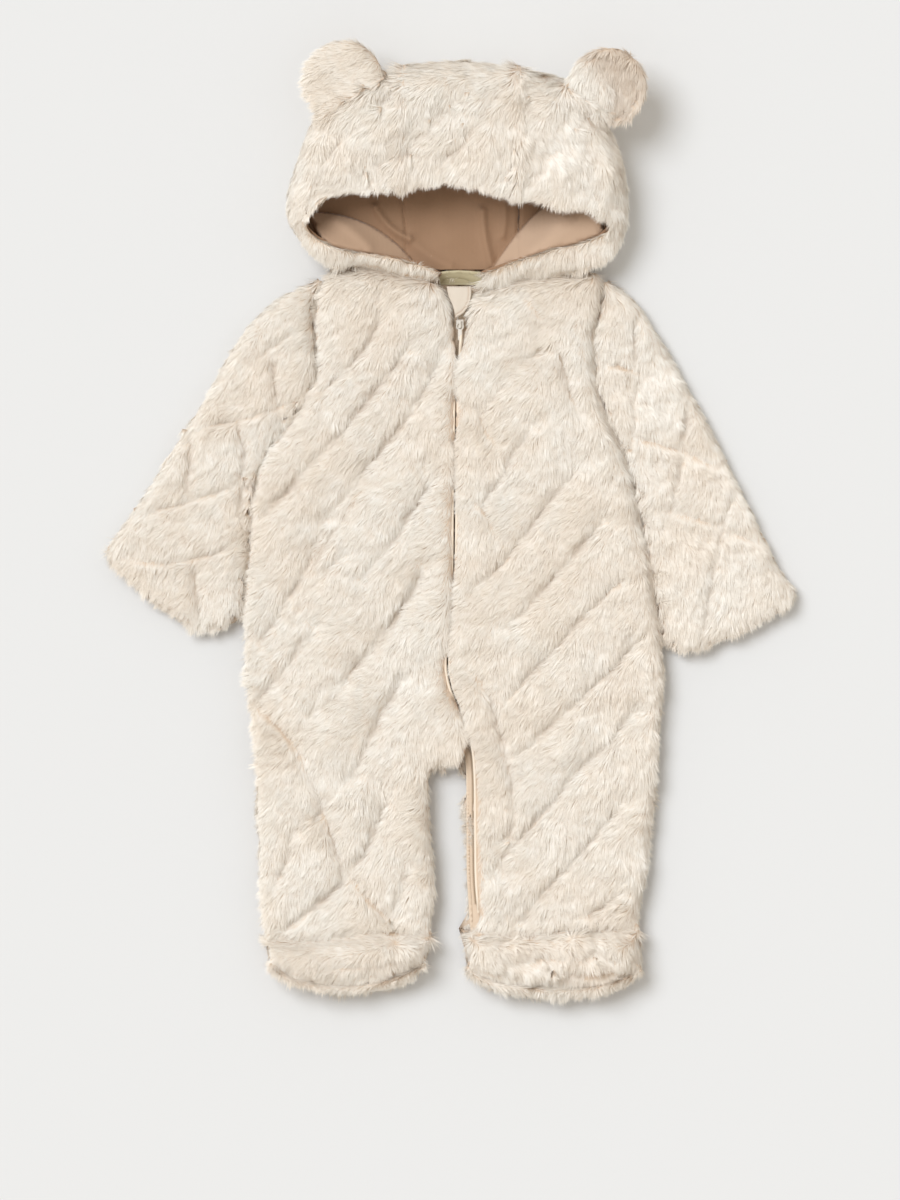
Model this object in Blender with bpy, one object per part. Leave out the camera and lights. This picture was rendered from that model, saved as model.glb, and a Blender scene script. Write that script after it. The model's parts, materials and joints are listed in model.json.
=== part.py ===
"""Baby sleepsuit: a hooded, footed all-in-one in quilted fur cloth, laid flat on its back.

Metres at the end, millimetres in the tables. +X is to the right as one looks down on the suit,
+Y runs from the feet to the hood and +Z is up from the surface it lies on. The origin is under
the middle of the torso. Left and right in the names of pieces are the wearer's.

Every fur panel is a wall between an outer skin, which is puffed between its quilting lines, and a
plain inner skin. Panels are cut from shared seam lines, each drawn back by half the seam gap.
"""

import math

import bmesh
import bpy
import numpy as np
from mathutils import Vector
from mathutils.geometry import delaunay_2d_cdt

MM = 0.001

# ---------------------------------------------------------------- driving sizes, mm
SEAM_GAP = 0.4          # between two pieces that are sewn together
WALL = 9.5              # fur pile, wadding and backing together
BACK_TOP = 9.0          # top of the back panel, whose underside is flat on the surface
SLIT = 3.4              # air between the front and the back along the zip
SLIT_REACH = 62.0       # how far to either side the two come together
FRONT_CROWN = 26.0      # height of the quilted front above the surface
SLEEVE_CROWN = 21.0
SLEEVE_SLIT = 2.6       # the sleeve's flattened inside, and the height where it starts
SLEEVE_SLIT_LOW = 8.2
FOOT_CROWN = 37.0
SOLE_CROWN = 27.0
HOOD_RIM = 58.0         # height of the hood's upper rim
HOOD_MIDDLE = 27.0      # height at which the hood is widest
LINING = 1.5            # jersey and its backing
LINING_GAP = 0.9        # between the lining and the wall that it lies in
LINING_HEM = 10.0       # how far inside the rim the lining stops
LINING_SHORT = 3.0      # and how far from the neck seam in front
EAR_RADIUS = 34.0
EAR_THICK = 17.0
EAR_BASE = 24.0         # from the ear's centre to its straight base
EAR_HEIGHT = 49.0       # of the ear's middle plane
EAR_CUP = 2.5           # dish of its face
EAR_SEAT = 21.0         # depth of the hood's side that trims the ear's base
CHIN_HEIGHT = 17.4      # underside of the flap over the top of the zip
CHIN_THICK = 2.2
NECK_TAPE_THICK = 1.0
NECK_TAPE_RISE = 3.4    # from the back panel up to the end of the lining
TAPE_HALF = 5.4         # zip tape and chain, half widths
CHAIN_HALF = 1.8
TAPE_THICK = 0.8
CHAIN_HIGH = 1.6
SLIDER_AT = (6.0, 155.0)
SLIDER_WIDE = 6.2
SLIDER_LONG = 8.0
SLIDER_HIGH = 3.2
SLIDER_GAP = 0.3        # between the chain and the slider that runs on it
BRIDGE_LONG = 5.8       # the slider's bridge, which holds the pull's ring
BRIDGE_WIDE = 1.3
BRIDGE_HIGH = 3.3
BRIDGE_BAR = 0.9
RING_MAJOR = 2.7
RING_MINOR = 0.5
PIN_FROM_SLIDER = (1.1, 1.2)    # where the ring hangs: along +Y from its middle, above its top
PULL_WIDE = 3.2
PULL_LONG = 8.5
PULL_THICK = 1.0

STEP = 11.0             # length of an edge along an outline
ZIP_STEP = 12.0
EAR_SIDES = 26

CREAM = (0.86, 0.79, 0.70, 1.0)
JERSEY = (0.56, 0.42, 0.31, 1.0)
FLAP = (0.90, 0.84, 0.75, 1.0)
KHAKI = (0.60, 0.53, 0.33, 1.0)
SATIN = (0.88, 0.82, 0.72, 1.0)
METAL = (0.80, 0.74, 0.64, 1.0)

# ---------------------------------------------------------------- tables of the pattern, mm
# zip line, a row per station down the front: x, y, half of the gap that the fur leaves
ZIP_ROWS = [
    (6.8, 178, 10.5),
    (6.6, 168, 7.4),
    (6.2, 158, 5.2),
    (5.4, 149, 4.4),
    (4.6, 140, 3.0),
    (3.6, 122, 1.0),
    (2.8, 90, 0.8),
    (2.4, 50, 0.8),
    (1.6, 5, 0.8),
    (1.2, -40, 0.8),
    (1.2, -66, 0.8),
    (-1.0, -88, 0.8),
    (-4.6, -110, 0.9),
    (-3.4, -130, 1.0),
    (3.0, -146, 0.9),
    (11.0, -165, 0.9),
    (14.6, -184, 0.9),
    (16.4, -205, 0.9),
    (16.6, -246, 0.9),
    (17.0, -290, 0.9),
    (20.0, -322, 0.9),
]
ZIP_CROTCH_Y = -186     # below this the right front leaves the zip

# sides of the body from shoulder to ankle, x and y
SIDE_RIGHT = [
    (-97, 198), (-104, 189), (-109, 176), (-109, 150), (-107, 118), (-115, 98), (-130, 78),
    (-147, 54), (-158, 26), (-162, -22), (-167, -75), (-167, -98), (-165, -128), (-161, -160),
    (-158, -195), (-157, -240), (-155, -290), (-153, -320), (-150, -336),
]
SIDE_LEFT = [
    (115, 199), (121, 187), (118, 174), (113, 150), (113, 120), (118, 95), (128, 70), (138, 52),
    (146, 22), (153, -10), (158, -42), (164, -74), (168, -101), (170, -130), (168, -162),
    (166, -194), (162, -228), (158, -266), (154, -292), (151, -312), (151, -329),
]
UNDERARM_RIGHT = (-167, -78)    # where each sleeve's cuff meets the side
UNDERARM_LEFT = (167.6, -98)
NECK_RIGHT = [(-97, 198), (-78, 198.4), (-60, 197), (-37, 191), (-16, 189), (-5.2, 184)]
NECK_LEFT = [(18.6, 181), (30, 181), (38, 183), (56, 189), (76, 191), (93, 194), (115, 199)]
NECK_BACK = [(-97, 198), (-40, 198), (9, 198), (53, 198), (115, 199)]
ANKLE_RIGHT = [(-150, -336), (-126, -338), (-93, -336), (-52, -331), (-29, -334), (-16, -334)]
ANKLE_LEFT = [(21.2, -331), (60, -334), (100, -331), (151, -329)]
ANKLE_LEFT_INNER = [(9, -331), (21.2, -331)]
LEG_RIGHT_INNER = [(-16, -334), (-14, -306), (-13, -282), (-15, -262), (-17, -226), (-18, -206)]
CROTCH_TO_ZIP = [(4, -198.5), (11, -193)]       # where the right front meets the zip
CROTCH = [(-18, -206), (-16.5, -199), (-6, -197.5), (4, -199), (8.6, -206)]
LEG_LEFT_INNER = [(8.6, -206), (10, -226), (11, -266), (11, -306), (9, -331)]

# booties, from the ankle round the toe: the outside and, inside it, the seam of the sole
TOE_RIGHT = [
    (-150, -336), (-149, -350), (-144, -360), (-134, -370), (-118, -378), (-98, -382), (-66, -382),
    (-38, -376), (-26, -366), (-19, -351), (-16, -334),
]
SOLE_SEAM_RIGHT = [
    (-147, -355), (-135, -364), (-119, -370), (-98, -373), (-66, -372), (-42, -365), (-21, -355),
]
TOE_LEFT = [
    (9, -331), (9, -350), (14, -366), (26, -378), (46, -383), (78, -385), (110, -384), (138, -378),
    (149, -369), (153, -353), (151, -329),
]
SOLE_SEAM_LEFT = [
    (11, -358), (26, -368), (46, -373), (78, -375), (110, -374), (134, -368), (152, -360),
]

# sleeves from the shoulder down the outside, then round the cuff to the underarm
SLEEVE_RIGHT = [
    (-104, 194), (-122, 187), (-146, 174), (-166, 154), (-183, 128), (-202, 94), (-222, 62),
    (-242, 30), (-258, 6), (-272, -13), (-278, -24), (-275, -35), (-258, -52), (-238, -69),
    (-218, -83), (-198, -91), (-182, -88), (-170, -80),
]
SLEEVE_LEFT = [
    (122, 193), (138, 184), (150, 174), (162, 155), (175, 134), (190, 106), (206, 78), (222, 46),
    (238, 14), (254, -20), (266, -42), (278, -58), (274, -67), (258, -78), (234, -91), (210, -101),
    (190, -107), (178, -106), (171, -101),
]
SLEEVE_FOLD_ENDS = {"right": (-278, -24), "left": (278, -58)}

# quilting lines and creases, a row each: start, middle and end (x, y), depth and half width
FRONT_RIGHT_CREASES = [
    (-58, 183, -67, 141, -113, 98, 3.5, 6),
    (-36, 138, -82, 78, -152, 2, 5, 6),
    (-4, 138, -42, 74, -106, -6, 7, 9),
    (-106, -6, -114, -34, -152, -96, 6, 8),
    (-67, 27, -87, 2, -114, -41, 4, 6),
    (-14, 34, -41, -8, -72, -46, 5, 6),
    (-84, -26, -115, -55, -125, -78, 4, 6),
    (-20, -38, -41, -73, -82, -126, 7, 7),
    (-107, -86, -135, -120, -152, -146, 5, 6),
    (-104, -144, -110, -155, -116, -166, 3, 6),
    (-40, -126, -58, -163, -78, -202, 7, 8),
    (-150, -154, -118, -194, -86, -286, 5, 7),
    (-81, -283, -66, -302, -52, -318, 4, 6),
    (-93, -214, -101, -228, -109, -243, 3, 5),
    (-52, -218, -80, -280, -134, -326, 7, 7),
    (-32, -278, -40, -295, -46, -314, 4, 6),
    (-126, -250, -132, -270, -140, -290, 4, 6),
]
FRONT_LEFT_CREASES = [
    (46, 114, 37, 102, 28, 88, 3.5, 6),
    (64, 76, 45, 45, 27, 14, 4, 6),
    (99, 42, 70, 2, 28, -48, 5.5, 7),
    (123, 2, 83, -46, 45, -86, 5, 7),
    (130, -50, 81, -104, 44, -142, 5.5, 7),
    (148, -98, 107, -139, 54, -188, 6, 7),
    (146, -154, 84, -221, 40, -275, 7, 7),
    (138, -226, 94, -275, 56, -320, 6, 7),
    (138, -296, 122, -309, 104, -316, 4, 6),
    (20, 92, 28, 75, 37, 62, 3, 5),
    (21, 14, 33, -2, 37, -15, 3, 5),
    (20, -119, 49, -214, 34, -262, 4, 6),
    (56, 127, 68, 133, 83, 139, 3, 6),
    (87, 140, 92, 115, 100, 90, 3.5, 6),
    (63, 178, 67, 171, 74, 158, 2.5, 5),
]
SLEEVE_RIGHT_CREASES = [
    (-158, 126, -142, 141, -120, 152, 2.5, 5),
    (-204, 73, -154, 86, -120, 100, 4, 6),
    (-246, 5, -202, 18, -168, 30, 4, 6),
    (-252, -32, -206, -31, -174, -18, 3.5, 6),
    (-144, 134, -141, 106, -138, 84, 3, 6),
    (-172, 88, -167, 48, -168, 6, 3.5, 6),
    (-208, 70, -210, 45, -212, 18, 3.5, 6),
    (-204, -30, -204, -54, -202, -78, 3.5, 6),
]
SLEEVE_LEFT_CREASES = [
    (146, 160, 146, 141, 146, 122, 3, 6),
    (146, 110, 144, 90, 146, 66, 3, 6),
    (188, 92, 182, 45, 174, 0, 4, 6),
    (224, 20, 212, -22, 202, -86, 4, 6),
    (124, 126, 138, 122, 156, 116, 3, 6),
    (148, 66, 182, 56, 212, 44, 4, 6),
    (168, 10, 214, -4, 246, -18, 4, 6),
]
HOOD_CREASES = [
    (-40, 350, -48, 342, -58, 328, 3.5, 12),
    (22, 356, -14, 316, -44, 290, 4.5, 12),
    (42, 344, 14, 310, -10, 280, 4, 12),
    (72, 342, 60, 328, 50, 316, 3.5, 12),
    (46, 290, 48, 276, 47, 266, 3, 12),
    (100, 316, 108, 290, 108, 266, 4, 12),
    (-86, 308, -102, 286, -108, 262, 4, 12),
    (86, 300, 70, 284, 60, 266, 3, 12),
    (-20, 296, -56, 286, -76, 270, 3, 12),
]
FOOT_RIGHT_CREASES = [(-130, -352, -84, -358, -36, -350, 2.5, 5)]
FOOT_LEFT_CREASES = [
    (58, -355, 92, -345, 128, -350, 4, 5),
    (40, -346, 60, -351, 84, -353, 3, 5),
]

# hood seen from above, x and y: the lens of the face opening and the outside of the hood
HOOD_SEAM_RIGHT = -40.0     # planes of the two seams of the centre panel
HOOD_SEAM_LEFT = 53.0
# a row per station from the right seam round the face to the chin:
# rim x, rim y, rim height, outside x, outside y
HOOD_RIGHT_ROWS = [
    (-40, 261, 58, -40, 363),
    (-60, 259, 57, -70, 354),
    (-80, 258, 56, -96, 338),
    (-96, 254, 55, -114, 316),
    (-108, 246, 53, -126, 286),
    (-115, 238, 50, -133, 262),
    (-115, 232, 47, -134, 243),
    (-107, 225, 44, -128, 226),
    (-96, 219, 42, -114, 209),
    (-82, 216, 40, -97, 198.6),
    (-74, 214, 39, -78, 199.8),
    (-56, 211, 38, -60, 198.2),
    (-38, 208, 37, -37, 191.8),
    (-20, 202, 35, -22, 190.2),
    (-8, 196, 31, -11, 190),
]
HOOD_LEFT_ROWS = [
    (53, 254, 58, 53, 363),
    (68, 250, 57, 86, 354),
    (84, 247, 56, 110, 338),
    (98, 246, 55, 127, 312),
    (110, 245, 53, 137, 286),
    (120, 240, 50, 141, 262),
    (124, 233, 47, 142, 243),
    (118, 228, 44, 140, 226),
    (110, 225, 42, 132, 211),
    (100, 221, 40, 115, 199.6),
    (88, 219, 39, 93, 194.8),
    (76, 216, 38, 76, 191.8),
    (56, 209, 37, 56, 189.8),
    (36, 202, 35, 38, 183.8),
    (22, 197, 31, 25, 184),
]
HOOD_NECK_ROW = 9           # the station where the outside reaches the neck seam
FLAP_ROWS = 1.2             # stations in which the edge comes down to the flaps' end
NECK_FLOOR_Y = 199.0        # where the hood's floor meets the back panel
EAR_STATIONS = 9            # half rows of the side panel that the ear sits on
# centre panel: x, rim y, crown y
HOOD_CENTRE_ROWS = [
    (-40, 261, 363), (-24, 263, 365), (-2, 265, 367), (14, 264, 367), (27, 261, 366), (40, 258, 365),
    (53, 254, 363),
]

# the tape over the back neck seam, and the flap over the top of the zip
NECK_TAPE_FRONT = [(-10, 186.6), (-2, 186.6), (6, 186.6), (14, 186.6), (19, 186.6)]
NECK_TAPE_REAR = [(-12, 195), (-4, 196.2), (5, 196.6), (14, 196.2), (21, 195)]
CHIN_SEWN_EDGE = [(-4.8, 185.6), (-3.6, 178), (0.0, 169.6), (2.4, 159.8)]
CHIN_FREE_EDGE = [(2.4, 159.8), (8.6, 163.4), (12.4, 168), (14.6, 174), (15.4, 180), (15.2, 185.6)]
CHIN_STEP = 4.0
CHIN_BOW = 1.2              # how far its middle arches over the zip

EARS = {
    # centre x, y, bearing of the ear's tip from +X in degrees, lean of the tip in degrees
    "right": (-86, 349, 112, -6),
    "left": (124, 344, 58, 4),
}


# ---------------------------------------------------------------- curves and outlines
def catmull(a, b, c, d, u):
    """A point of the Catmull-Rom curve between b and c."""
    return 0.5 * (2 * b + (c - a) * u + (2 * a - 5 * b + 4 * c - d) * u * u
                  + (3 * b - a - 3 * c + d) * u * u * u)


def resample(points, step):
    """An open chain walked in equal steps of about the given length."""
    reach = [0.0]
    for a, b in zip(points, points[1:]):
        reach.append(reach[-1] + (b - a).length)
    count = max(1, round(reach[-1] / step))
    out = []
    k = 0
    for i in range(count + 1):
        along = reach[-1] * i / count
        while k < len(points) - 2 and reach[k + 1] < along:
            k += 1
        share = (along - reach[k]) / max(reach[k + 1] - reach[k], 1e-9)
        out.append(points[k].lerp(points[k + 1], min(max(share, 0.0), 1.0)))
    return out


def smooth(knots, step=STEP):
    """Evenly spaced points of a smooth curve through the knots."""
    p = [Vector(k) for k in knots]
    fine = []
    for i in range(len(p) - 1):
        a, d = p[max(i - 1, 0)], p[min(i + 2, len(p) - 1)]
        fine += [catmull(a, p[i], p[i + 1], d, k / 8) for k in range(8)]
    return resample(fine + [p[-1]], step)


def join(*runs):
    """One closed outline from runs that meet end to end, as a list of points."""
    out = []
    for run in runs:
        for p in run:
            if not out or (p - out[-1]).length > 0.6:
                out.append(p)
    if (out[0] - out[-1]).length < 0.6:
        out.pop()
    area = sum(a.x * b.y - b.x * a.y for a, b in zip(out, out[1:] + out[:1]))
    return out if area > 0 else out[::-1]


def drawn_in(outline, distance):
    """The outline moved inwards; a corner keeps its mitre, up to a limit."""
    out = []
    n = len(outline)
    for i, p in enumerate(outline):
        before = (p - outline[i - 1]).normalized()
        after = (outline[(i + 1) % n] - p).normalized()
        inward = Vector((-before.y - after.y, before.x + after.x)).normalized()
        cosine = max(0.45, Vector((-before.y, before.x)).dot(inward))
        out.append(p + inward * (distance / cosine))
    return out


def to_chain(points, chain, closed=False):
    """Distance of each point to the nearest edge of a chain."""
    p = np.array([tuple(q)[:2] for q in points], dtype=float)
    a = np.array([tuple(q)[:2] for q in chain], dtype=float)
    b = np.roll(a, -1, axis=0)
    if not closed:
        a, b = a[:-1], b[:-1]
    ab = b - a
    ap = p[:, None, :] - a[None]
    share = np.clip((ap * ab).sum(2) / np.maximum((ab * ab).sum(1), 1e-9), 0, 1)
    return np.linalg.norm(ap - share[..., None] * ab, axis=2).min(1)


def inside(points, outline):
    """Whether each point lies within a closed outline, by crossings of a ray along +X."""
    p = np.array([tuple(q)[:2] for q in points], dtype=float)
    a = np.array([tuple(q)[:2] for q in outline], dtype=float)
    b = np.roll(a, -1, axis=0)
    px, py = p[:, :1], p[:, 1:2]
    spans = (a[:, 1] > py) != (b[:, 1] > py)
    rise = np.where(b[:, 1] == a[:, 1], 1e-9, b[:, 1] - a[:, 1])
    cross = a[:, 0] + (py - a[:, 1]) * (b[:, 0] - a[:, 0]) / rise
    return (spans & (px < cross)).sum(1) % 2 == 1


class Quilting:
    """The creases of one panel: where they run and how far they press the fur down."""

    def __init__(self, rows):
        self.lines = []
        for x0, y0, x1, y1, x2, y2, depth, width in rows:
            a, m, b = Vector((x0, y0)), Vector((x1, y1)), Vector((x2, y2))
            bend = 2 * m - (a + b) / 2
            curve = [(1 - u) ** 2 * a + 2 * u * (1 - u) * bend + u * u * b
                     for u in (k / 12 for k in range(13))]
            self.lines.append((resample(curve, STEP), depth, width))

    def sunk(self, points):
        """How far each point lies below the puffed surface."""
        low = np.zeros(len(points))
        for line, depth, width in self.lines:
            away = to_chain(points, line)
            low = np.maximum(low, depth * np.exp(-(away / width) ** 2))
        return low


def rounded(distance, radius):
    """0 at the edge of a piece and 1 from radius inwards, along a quarter ellipse."""
    u = np.clip(np.asarray(distance, dtype=float) / radius, 0, 1)
    return np.sqrt(np.maximum(0.0, 1 - (1 - u) ** 2))


def thinned(points, keep, gap):
    """Points, in order, that lie at least gap from the ones already kept."""
    kept = [Vector(p[:2]) for p in keep]
    grid = {}
    for p in kept:
        grid.setdefault((int(p.x // gap), int(p.y // gap)), []).append(p)
    fresh = []
    for p in points:
        cx, cy = int(p.x // gap), int(p.y // gap)
        near = (q for i in (-1, 0, 1) for j in (-1, 0, 1) for q in grid.get((cx + i, cy + j), ()))
        if all((p - q).length >= gap for q in near):
            fresh.append(p)
            grid.setdefault((cx, cy), []).append(p)
    return fresh


def lattice(outline, pitch):
    """A triangular lattice of points over the outline's box."""
    xs, ys = [p.x for p in outline], [p.y for p in outline]
    out = []
    row = 0
    y = min(ys) + pitch / 2
    while y < max(ys):
        x = min(xs) + (pitch / 2 if row % 2 else 0.0)
        while x < max(xs):
            out.append(Vector((x, y)))
            x += pitch
        y += pitch * 0.866
        row += 1
    return out


def triangulated(outline, loose, chains=()):
    """Triangles of the outline's inside over its own points, the loose ones and the chains."""
    points = list(outline)
    edges = []
    for chain in chains:
        first = len(points)
        points += chain
        edges += [(first + i, first + i + 1) for i in range(len(chain) - 1)]
    points += loose
    face = list(range(len(outline)))
    found, _, triangles, origins, _, _ = delaunay_2d_cdt(points, edges, [face], 1, 1e-5)
    return found, triangles, origins


# ---------------------------------------------------------------- solids
def material(name, colour, roughness, metallic=0.0):
    made = bpy.data.materials.new(name)
    made.use_nodes = True
    shader = made.node_tree.nodes["Principled BSDF"]
    shader.inputs["Base Color"].default_value = colour
    shader.inputs["Roughness"].default_value = roughness
    shader.inputs["Metallic"].default_value = metallic
    return made


def piece(name, mesh, finish):
    """A named object from a bmesh in millimetres, put in the suit's collection."""
    bmesh.ops.remove_doubles(mesh, verts=mesh.verts, dist=0.002)
    bmesh.ops.triangulate(mesh, faces=mesh.faces)
    bmesh.ops.recalc_face_normals(mesh, faces=mesh.faces)
    if mesh.calc_volume(signed=True) < 0:
        bmesh.ops.reverse_faces(mesh, faces=mesh.faces)
    bmesh.ops.scale(mesh, vec=(MM, MM, MM), verts=mesh.verts)
    data = bpy.data.meshes.new(name)
    mesh.to_mesh(data)
    mesh.free()
    data.materials.append(finish)
    data.shade_smooth()
    made = bpy.data.objects.new(name, data)
    SUIT.objects.link(made)
    return made


def panel(name, outline, top, low, finish, quilting=None, edge=10.0, top_pitch=16.5,
          low_pitch=70.0, low_edge=0.0):
    """A wall over an outline seen from above.

    top and low give the heights of its two skins from points and their distances to the edge;
    edge is the width of the rounded rim, and low_edge that of the lower skin's, if it has one.
    """
    outline = drawn_in(outline, SEAM_GAP / 2)
    chains = []
    fixed = list(outline)
    rings = []
    for share in (0.22, 0.75):
        ring = drawn_in(outline, edge * share)
        clear = to_chain(ring, outline, closed=True) > edge * share * 0.8
        good = [p for p, c, i in zip(ring, clear, inside(ring, outline)) if c and i]
        rings += thinned(good, fixed + rings, edge * share * 0.7)
    fixed += rings
    loose = list(rings)
    if quilting:
        for line, _, width in quilting.lines:
            within = inside(line, outline) & (to_chain(line, outline, closed=True) > 5.5)
            run = [p for p, ok in zip(line, within) if ok]
            run = [run[0]] + thinned(run[1:], [run[0]], STEP * 0.7) if run else []
            if len(run) > 1:
                chains.append(run)
        on_lines = [p for run in chains for p in run]
        loose = thinned([p for p in rings], on_lines, 4.5)
        fixed = list(outline) + loose + on_lines
        flanks = []
        for run in chains:
            for a, b in zip(run, run[1:]):
                side = Vector((a.y - b.y, b.x - a.x)).normalized() * 6.5
                flanks += [(a + b) / 2 + side, (a + b) / 2 - side]
        ok = inside(flanks, outline) & (to_chain(flanks, outline, closed=True) > 6)
        flanks = thinned([p for p, good in zip(flanks, ok) if good], fixed, 5.2)
        loose += flanks
        fixed += flanks
    field = lattice(outline, top_pitch)
    ok = inside(field, outline) & (to_chain(field, outline, closed=True) > edge * 0.9)
    loose += thinned([p for p, good in zip(field, ok) if good], fixed, top_pitch * 0.62)

    mesh = bmesh.new()
    n = len(outline)

    def skin(points, triangles, origins, heights, upward):
        verts = [mesh.verts.new((p.x, p.y, h)) for p, h in zip(points, heights)]
        for tri in triangles:
            corners = [verts[i] for i in tri]
            mesh.faces.new(corners if upward else corners[::-1])
        border = [None] * n
        for vert, origin in zip(verts, origins):
            for i in origin:
                if i < n:
                    border[i] = vert
        return border

    points, triangles, origins = triangulated(outline, loose, chains)
    away = to_chain(points, outline, closed=True)
    sunk = quilting.sunk(points) if quilting else np.zeros(len(points))
    heights = top(points, away) - sunk * rounded(away, edge)
    upper = skin(points, triangles, origins, heights, True)

    field = lattice(outline, low_pitch)
    ok = inside(field, outline) & (to_chain(field, outline, closed=True) > low_pitch * 0.35)
    loose = [p for p, good in zip(field, ok) if good]
    if low_edge:
        ring = drawn_in(outline, low_edge)
        clear = to_chain(ring, outline, closed=True) > low_edge * 0.8
        ring = [p for p, c, i in zip(ring, clear, inside(ring, outline)) if c and i]
        ring = thinned(ring, outline, low_edge * 0.8)
        loose = ring + thinned(loose, ring, low_pitch * 0.3)
    points, triangles, origins = triangulated(outline, loose)
    away = to_chain(points, outline, closed=True)
    lower = skin(points, triangles, origins, low(points, away), False)
    for i in range(n):
        j = (i + 1) % n
        mesh.faces.new((upper[j], upper[i], lower[i], lower[j]))
    return piece(name, mesh, finish)


def flat(height):
    """A level skin."""
    return lambda points, away: np.full(len(points), float(height))


def cut(target, cutter):
    """Takes the cutter's space out of a piece, for good."""
    change = target.modifiers.new("cut", "BOOLEAN")
    change.object = cutter
    change.operation = "DIFFERENCE"
    seen = target.evaluated_get(bpy.context.evaluated_depsgraph_get())
    data = bpy.data.meshes.new_from_object(seen)
    target.modifiers.remove(change)
    data.name = target.name
    target.data = data
    bpy.data.objects.remove(cutter)


# ---------------------------------------------------------------- zip line
def zip_stations():
    """Evenly spaced stations of the zip: centre, sideways direction and half gap."""
    centre = smooth([(x, y, gap) for x, y, gap in ZIP_ROWS], ZIP_STEP)
    out = []
    for i, p in enumerate(centre):
        q = centre[min(i + 1, len(centre) - 1)] - centre[max(i - 1, 0)]
        side = Vector((-q.y, q.x)).normalized()     # towards +X, because the zip runs down
        out.append((Vector((p.x, p.y)), side, p.z))
    return out


def zip_edge(side_sign, extra=0.0):
    """One edge of the zip's gap from the neck down, on the +X side for a sign of +1."""
    return [c + side * side_sign * (gap + extra) for c, side, gap in ZIP]


def zip_strip(half, first=0, last=None):
    """The outline of a strip of the given half width along the zip."""
    part = ZIP[first:last]
    right = [c + side * half for c, side, _ in part]
    left = [c - side * half for c, side, _ in part]
    return join(right, left[::-1])


def strip_solid(name, outline, low, high, finish):
    """A flat strip between two levels, as an extruded outline."""
    mesh = bmesh.new()
    verts = [mesh.verts.new((p.x, p.y, low)) for p in outline]
    base = mesh.faces.new(verts)
    raised = bmesh.ops.extrude_face_region(mesh, geom=[base])["geom"]
    bmesh.ops.translate(mesh, vec=(0, 0, high - low),
                        verts=[v for v in raised if isinstance(v, bmesh.types.BMVert)])
    return piece(name, mesh, finish)


# ---------------------------------------------------------------- body
def slit_height(points):
    """How far the fronts lie off the back: most along the zip, nothing at the side seams."""
    away = to_chain(points, [c for c, _, _ in ZIP])
    return SLIT * np.exp(-(away / SLIT_REACH) ** 2)


def front_low(points, away):
    return BACK_TOP + SEAM_GAP + slit_height(points)


def front_top(points, away):
    rim = BACK_TOP + SEAM_GAP + 6.0 + slit_height(points)
    puff = FRONT_CROWN + 2.0 * (1 - np.exp(-away / 45))
    return rim + (puff - rim) * rounded(away, 11.0)


def body(fur):
    side_right = smooth(SIDE_RIGHT)
    side_left = smooth(SIDE_LEFT)
    right_edge = [p for p in zip_edge(-1) if p.y > ZIP_CROTCH_Y]
    left_edge = zip_edge(1)
    right = join(smooth(NECK_RIGHT)[::-1], side_right, smooth(ANKLE_RIGHT),
                 smooth(LEG_RIGHT_INNER), smooth(CROTCH[:3]),
                 [Vector(p) for p in CROTCH_TO_ZIP], right_edge[::-1])
    left = join(smooth(NECK_LEFT), side_left, smooth(ANKLE_LEFT)[::-1], left_edge[::-1])
    panel("front_right", right, front_top, front_low, fur, Quilting(FRONT_RIGHT_CREASES))
    panel("front_left", left, front_top, front_low, fur, Quilting(FRONT_LEFT_CREASES))
    foot_right = bootie_runs(TOE_RIGHT, SOLE_SEAM_RIGHT)
    foot_left = bootie_runs(TOE_LEFT, SOLE_SEAM_LEFT)
    whole = join(smooth(NECK_BACK)[::-1], side_right, *foot_right[:3], smooth(LEG_RIGHT_INNER),
                 smooth(CROTCH), smooth(LEG_LEFT_INNER), *foot_left[:3], side_left[::-1])

    def under(points, away):
        return 3.5 * (1 - rounded(away, 5.0))
    panel("back", whole, flat(BACK_TOP), under, fur, edge=6.0, top_pitch=60.0, low_edge=5.0)


def bootie_runs(toe, seam):
    """The runs round a bootie: its first side, the sole's seam, its other side, the sole's edge."""
    first = smooth(toe[:2] + [seam[0]])
    other = smooth([seam[-1]] + toe[-2:])
    return first, smooth(seam), other, smooth([seam[0]] + toe[2:-2] + [seam[-1]])


def foot(name, ankle, toe, seam, creases, fur):
    """A bootie's upper, squashed flat on the back panel, and the sole that closes its end."""
    first, seam, other, edge = bootie_runs(toe, seam)
    upper = join(ankle, first, seam, other)
    base = BACK_TOP + SEAM_GAP

    def top(points, away):
        rim = base + 7.0
        return rim + (FOOT_CROWN - rim) * rounded(away, 15.0)
    panel("foot_" + name, upper, top, flat(base), fur, Quilting(creases), edge=15.0,
          top_pitch=12.0)
    sole = join(seam, edge[::-1])

    def sole_top(points, away):
        reach = to_chain(points, seam)
        return SOLE_CROWN - 15.0 * (1 - rounded(12.0 - np.minimum(reach, 12.0), 12.0))

    def sole_low(points, away):
        reach = to_chain(points, seam)
        return 5.0 * (1 - rounded(12.0 - np.minimum(reach, 12.0), 6.0))
    panel("sole_" + name, sole, sole_top, sole_low, fur, edge=5.0, top_pitch=8.0,
          low_pitch=8.0)


def feet(fur):
    foot("right", smooth(ANKLE_RIGHT)[::-1], TOE_RIGHT, SOLE_SEAM_RIGHT, FOOT_RIGHT_CREASES, fur)
    ankle = join_open(smooth(ANKLE_LEFT_INNER), smooth(ANKLE_LEFT))[::-1]
    foot("left", ankle, TOE_LEFT, SOLE_SEAM_LEFT, FOOT_LEFT_CREASES, fur)


def join_open(*runs):
    """Runs that meet end to end as one open chain."""
    out = []
    for run in runs:
        out += [p for p in run if not out or (p - out[-1]).length > 0.6]
    return out


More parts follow.
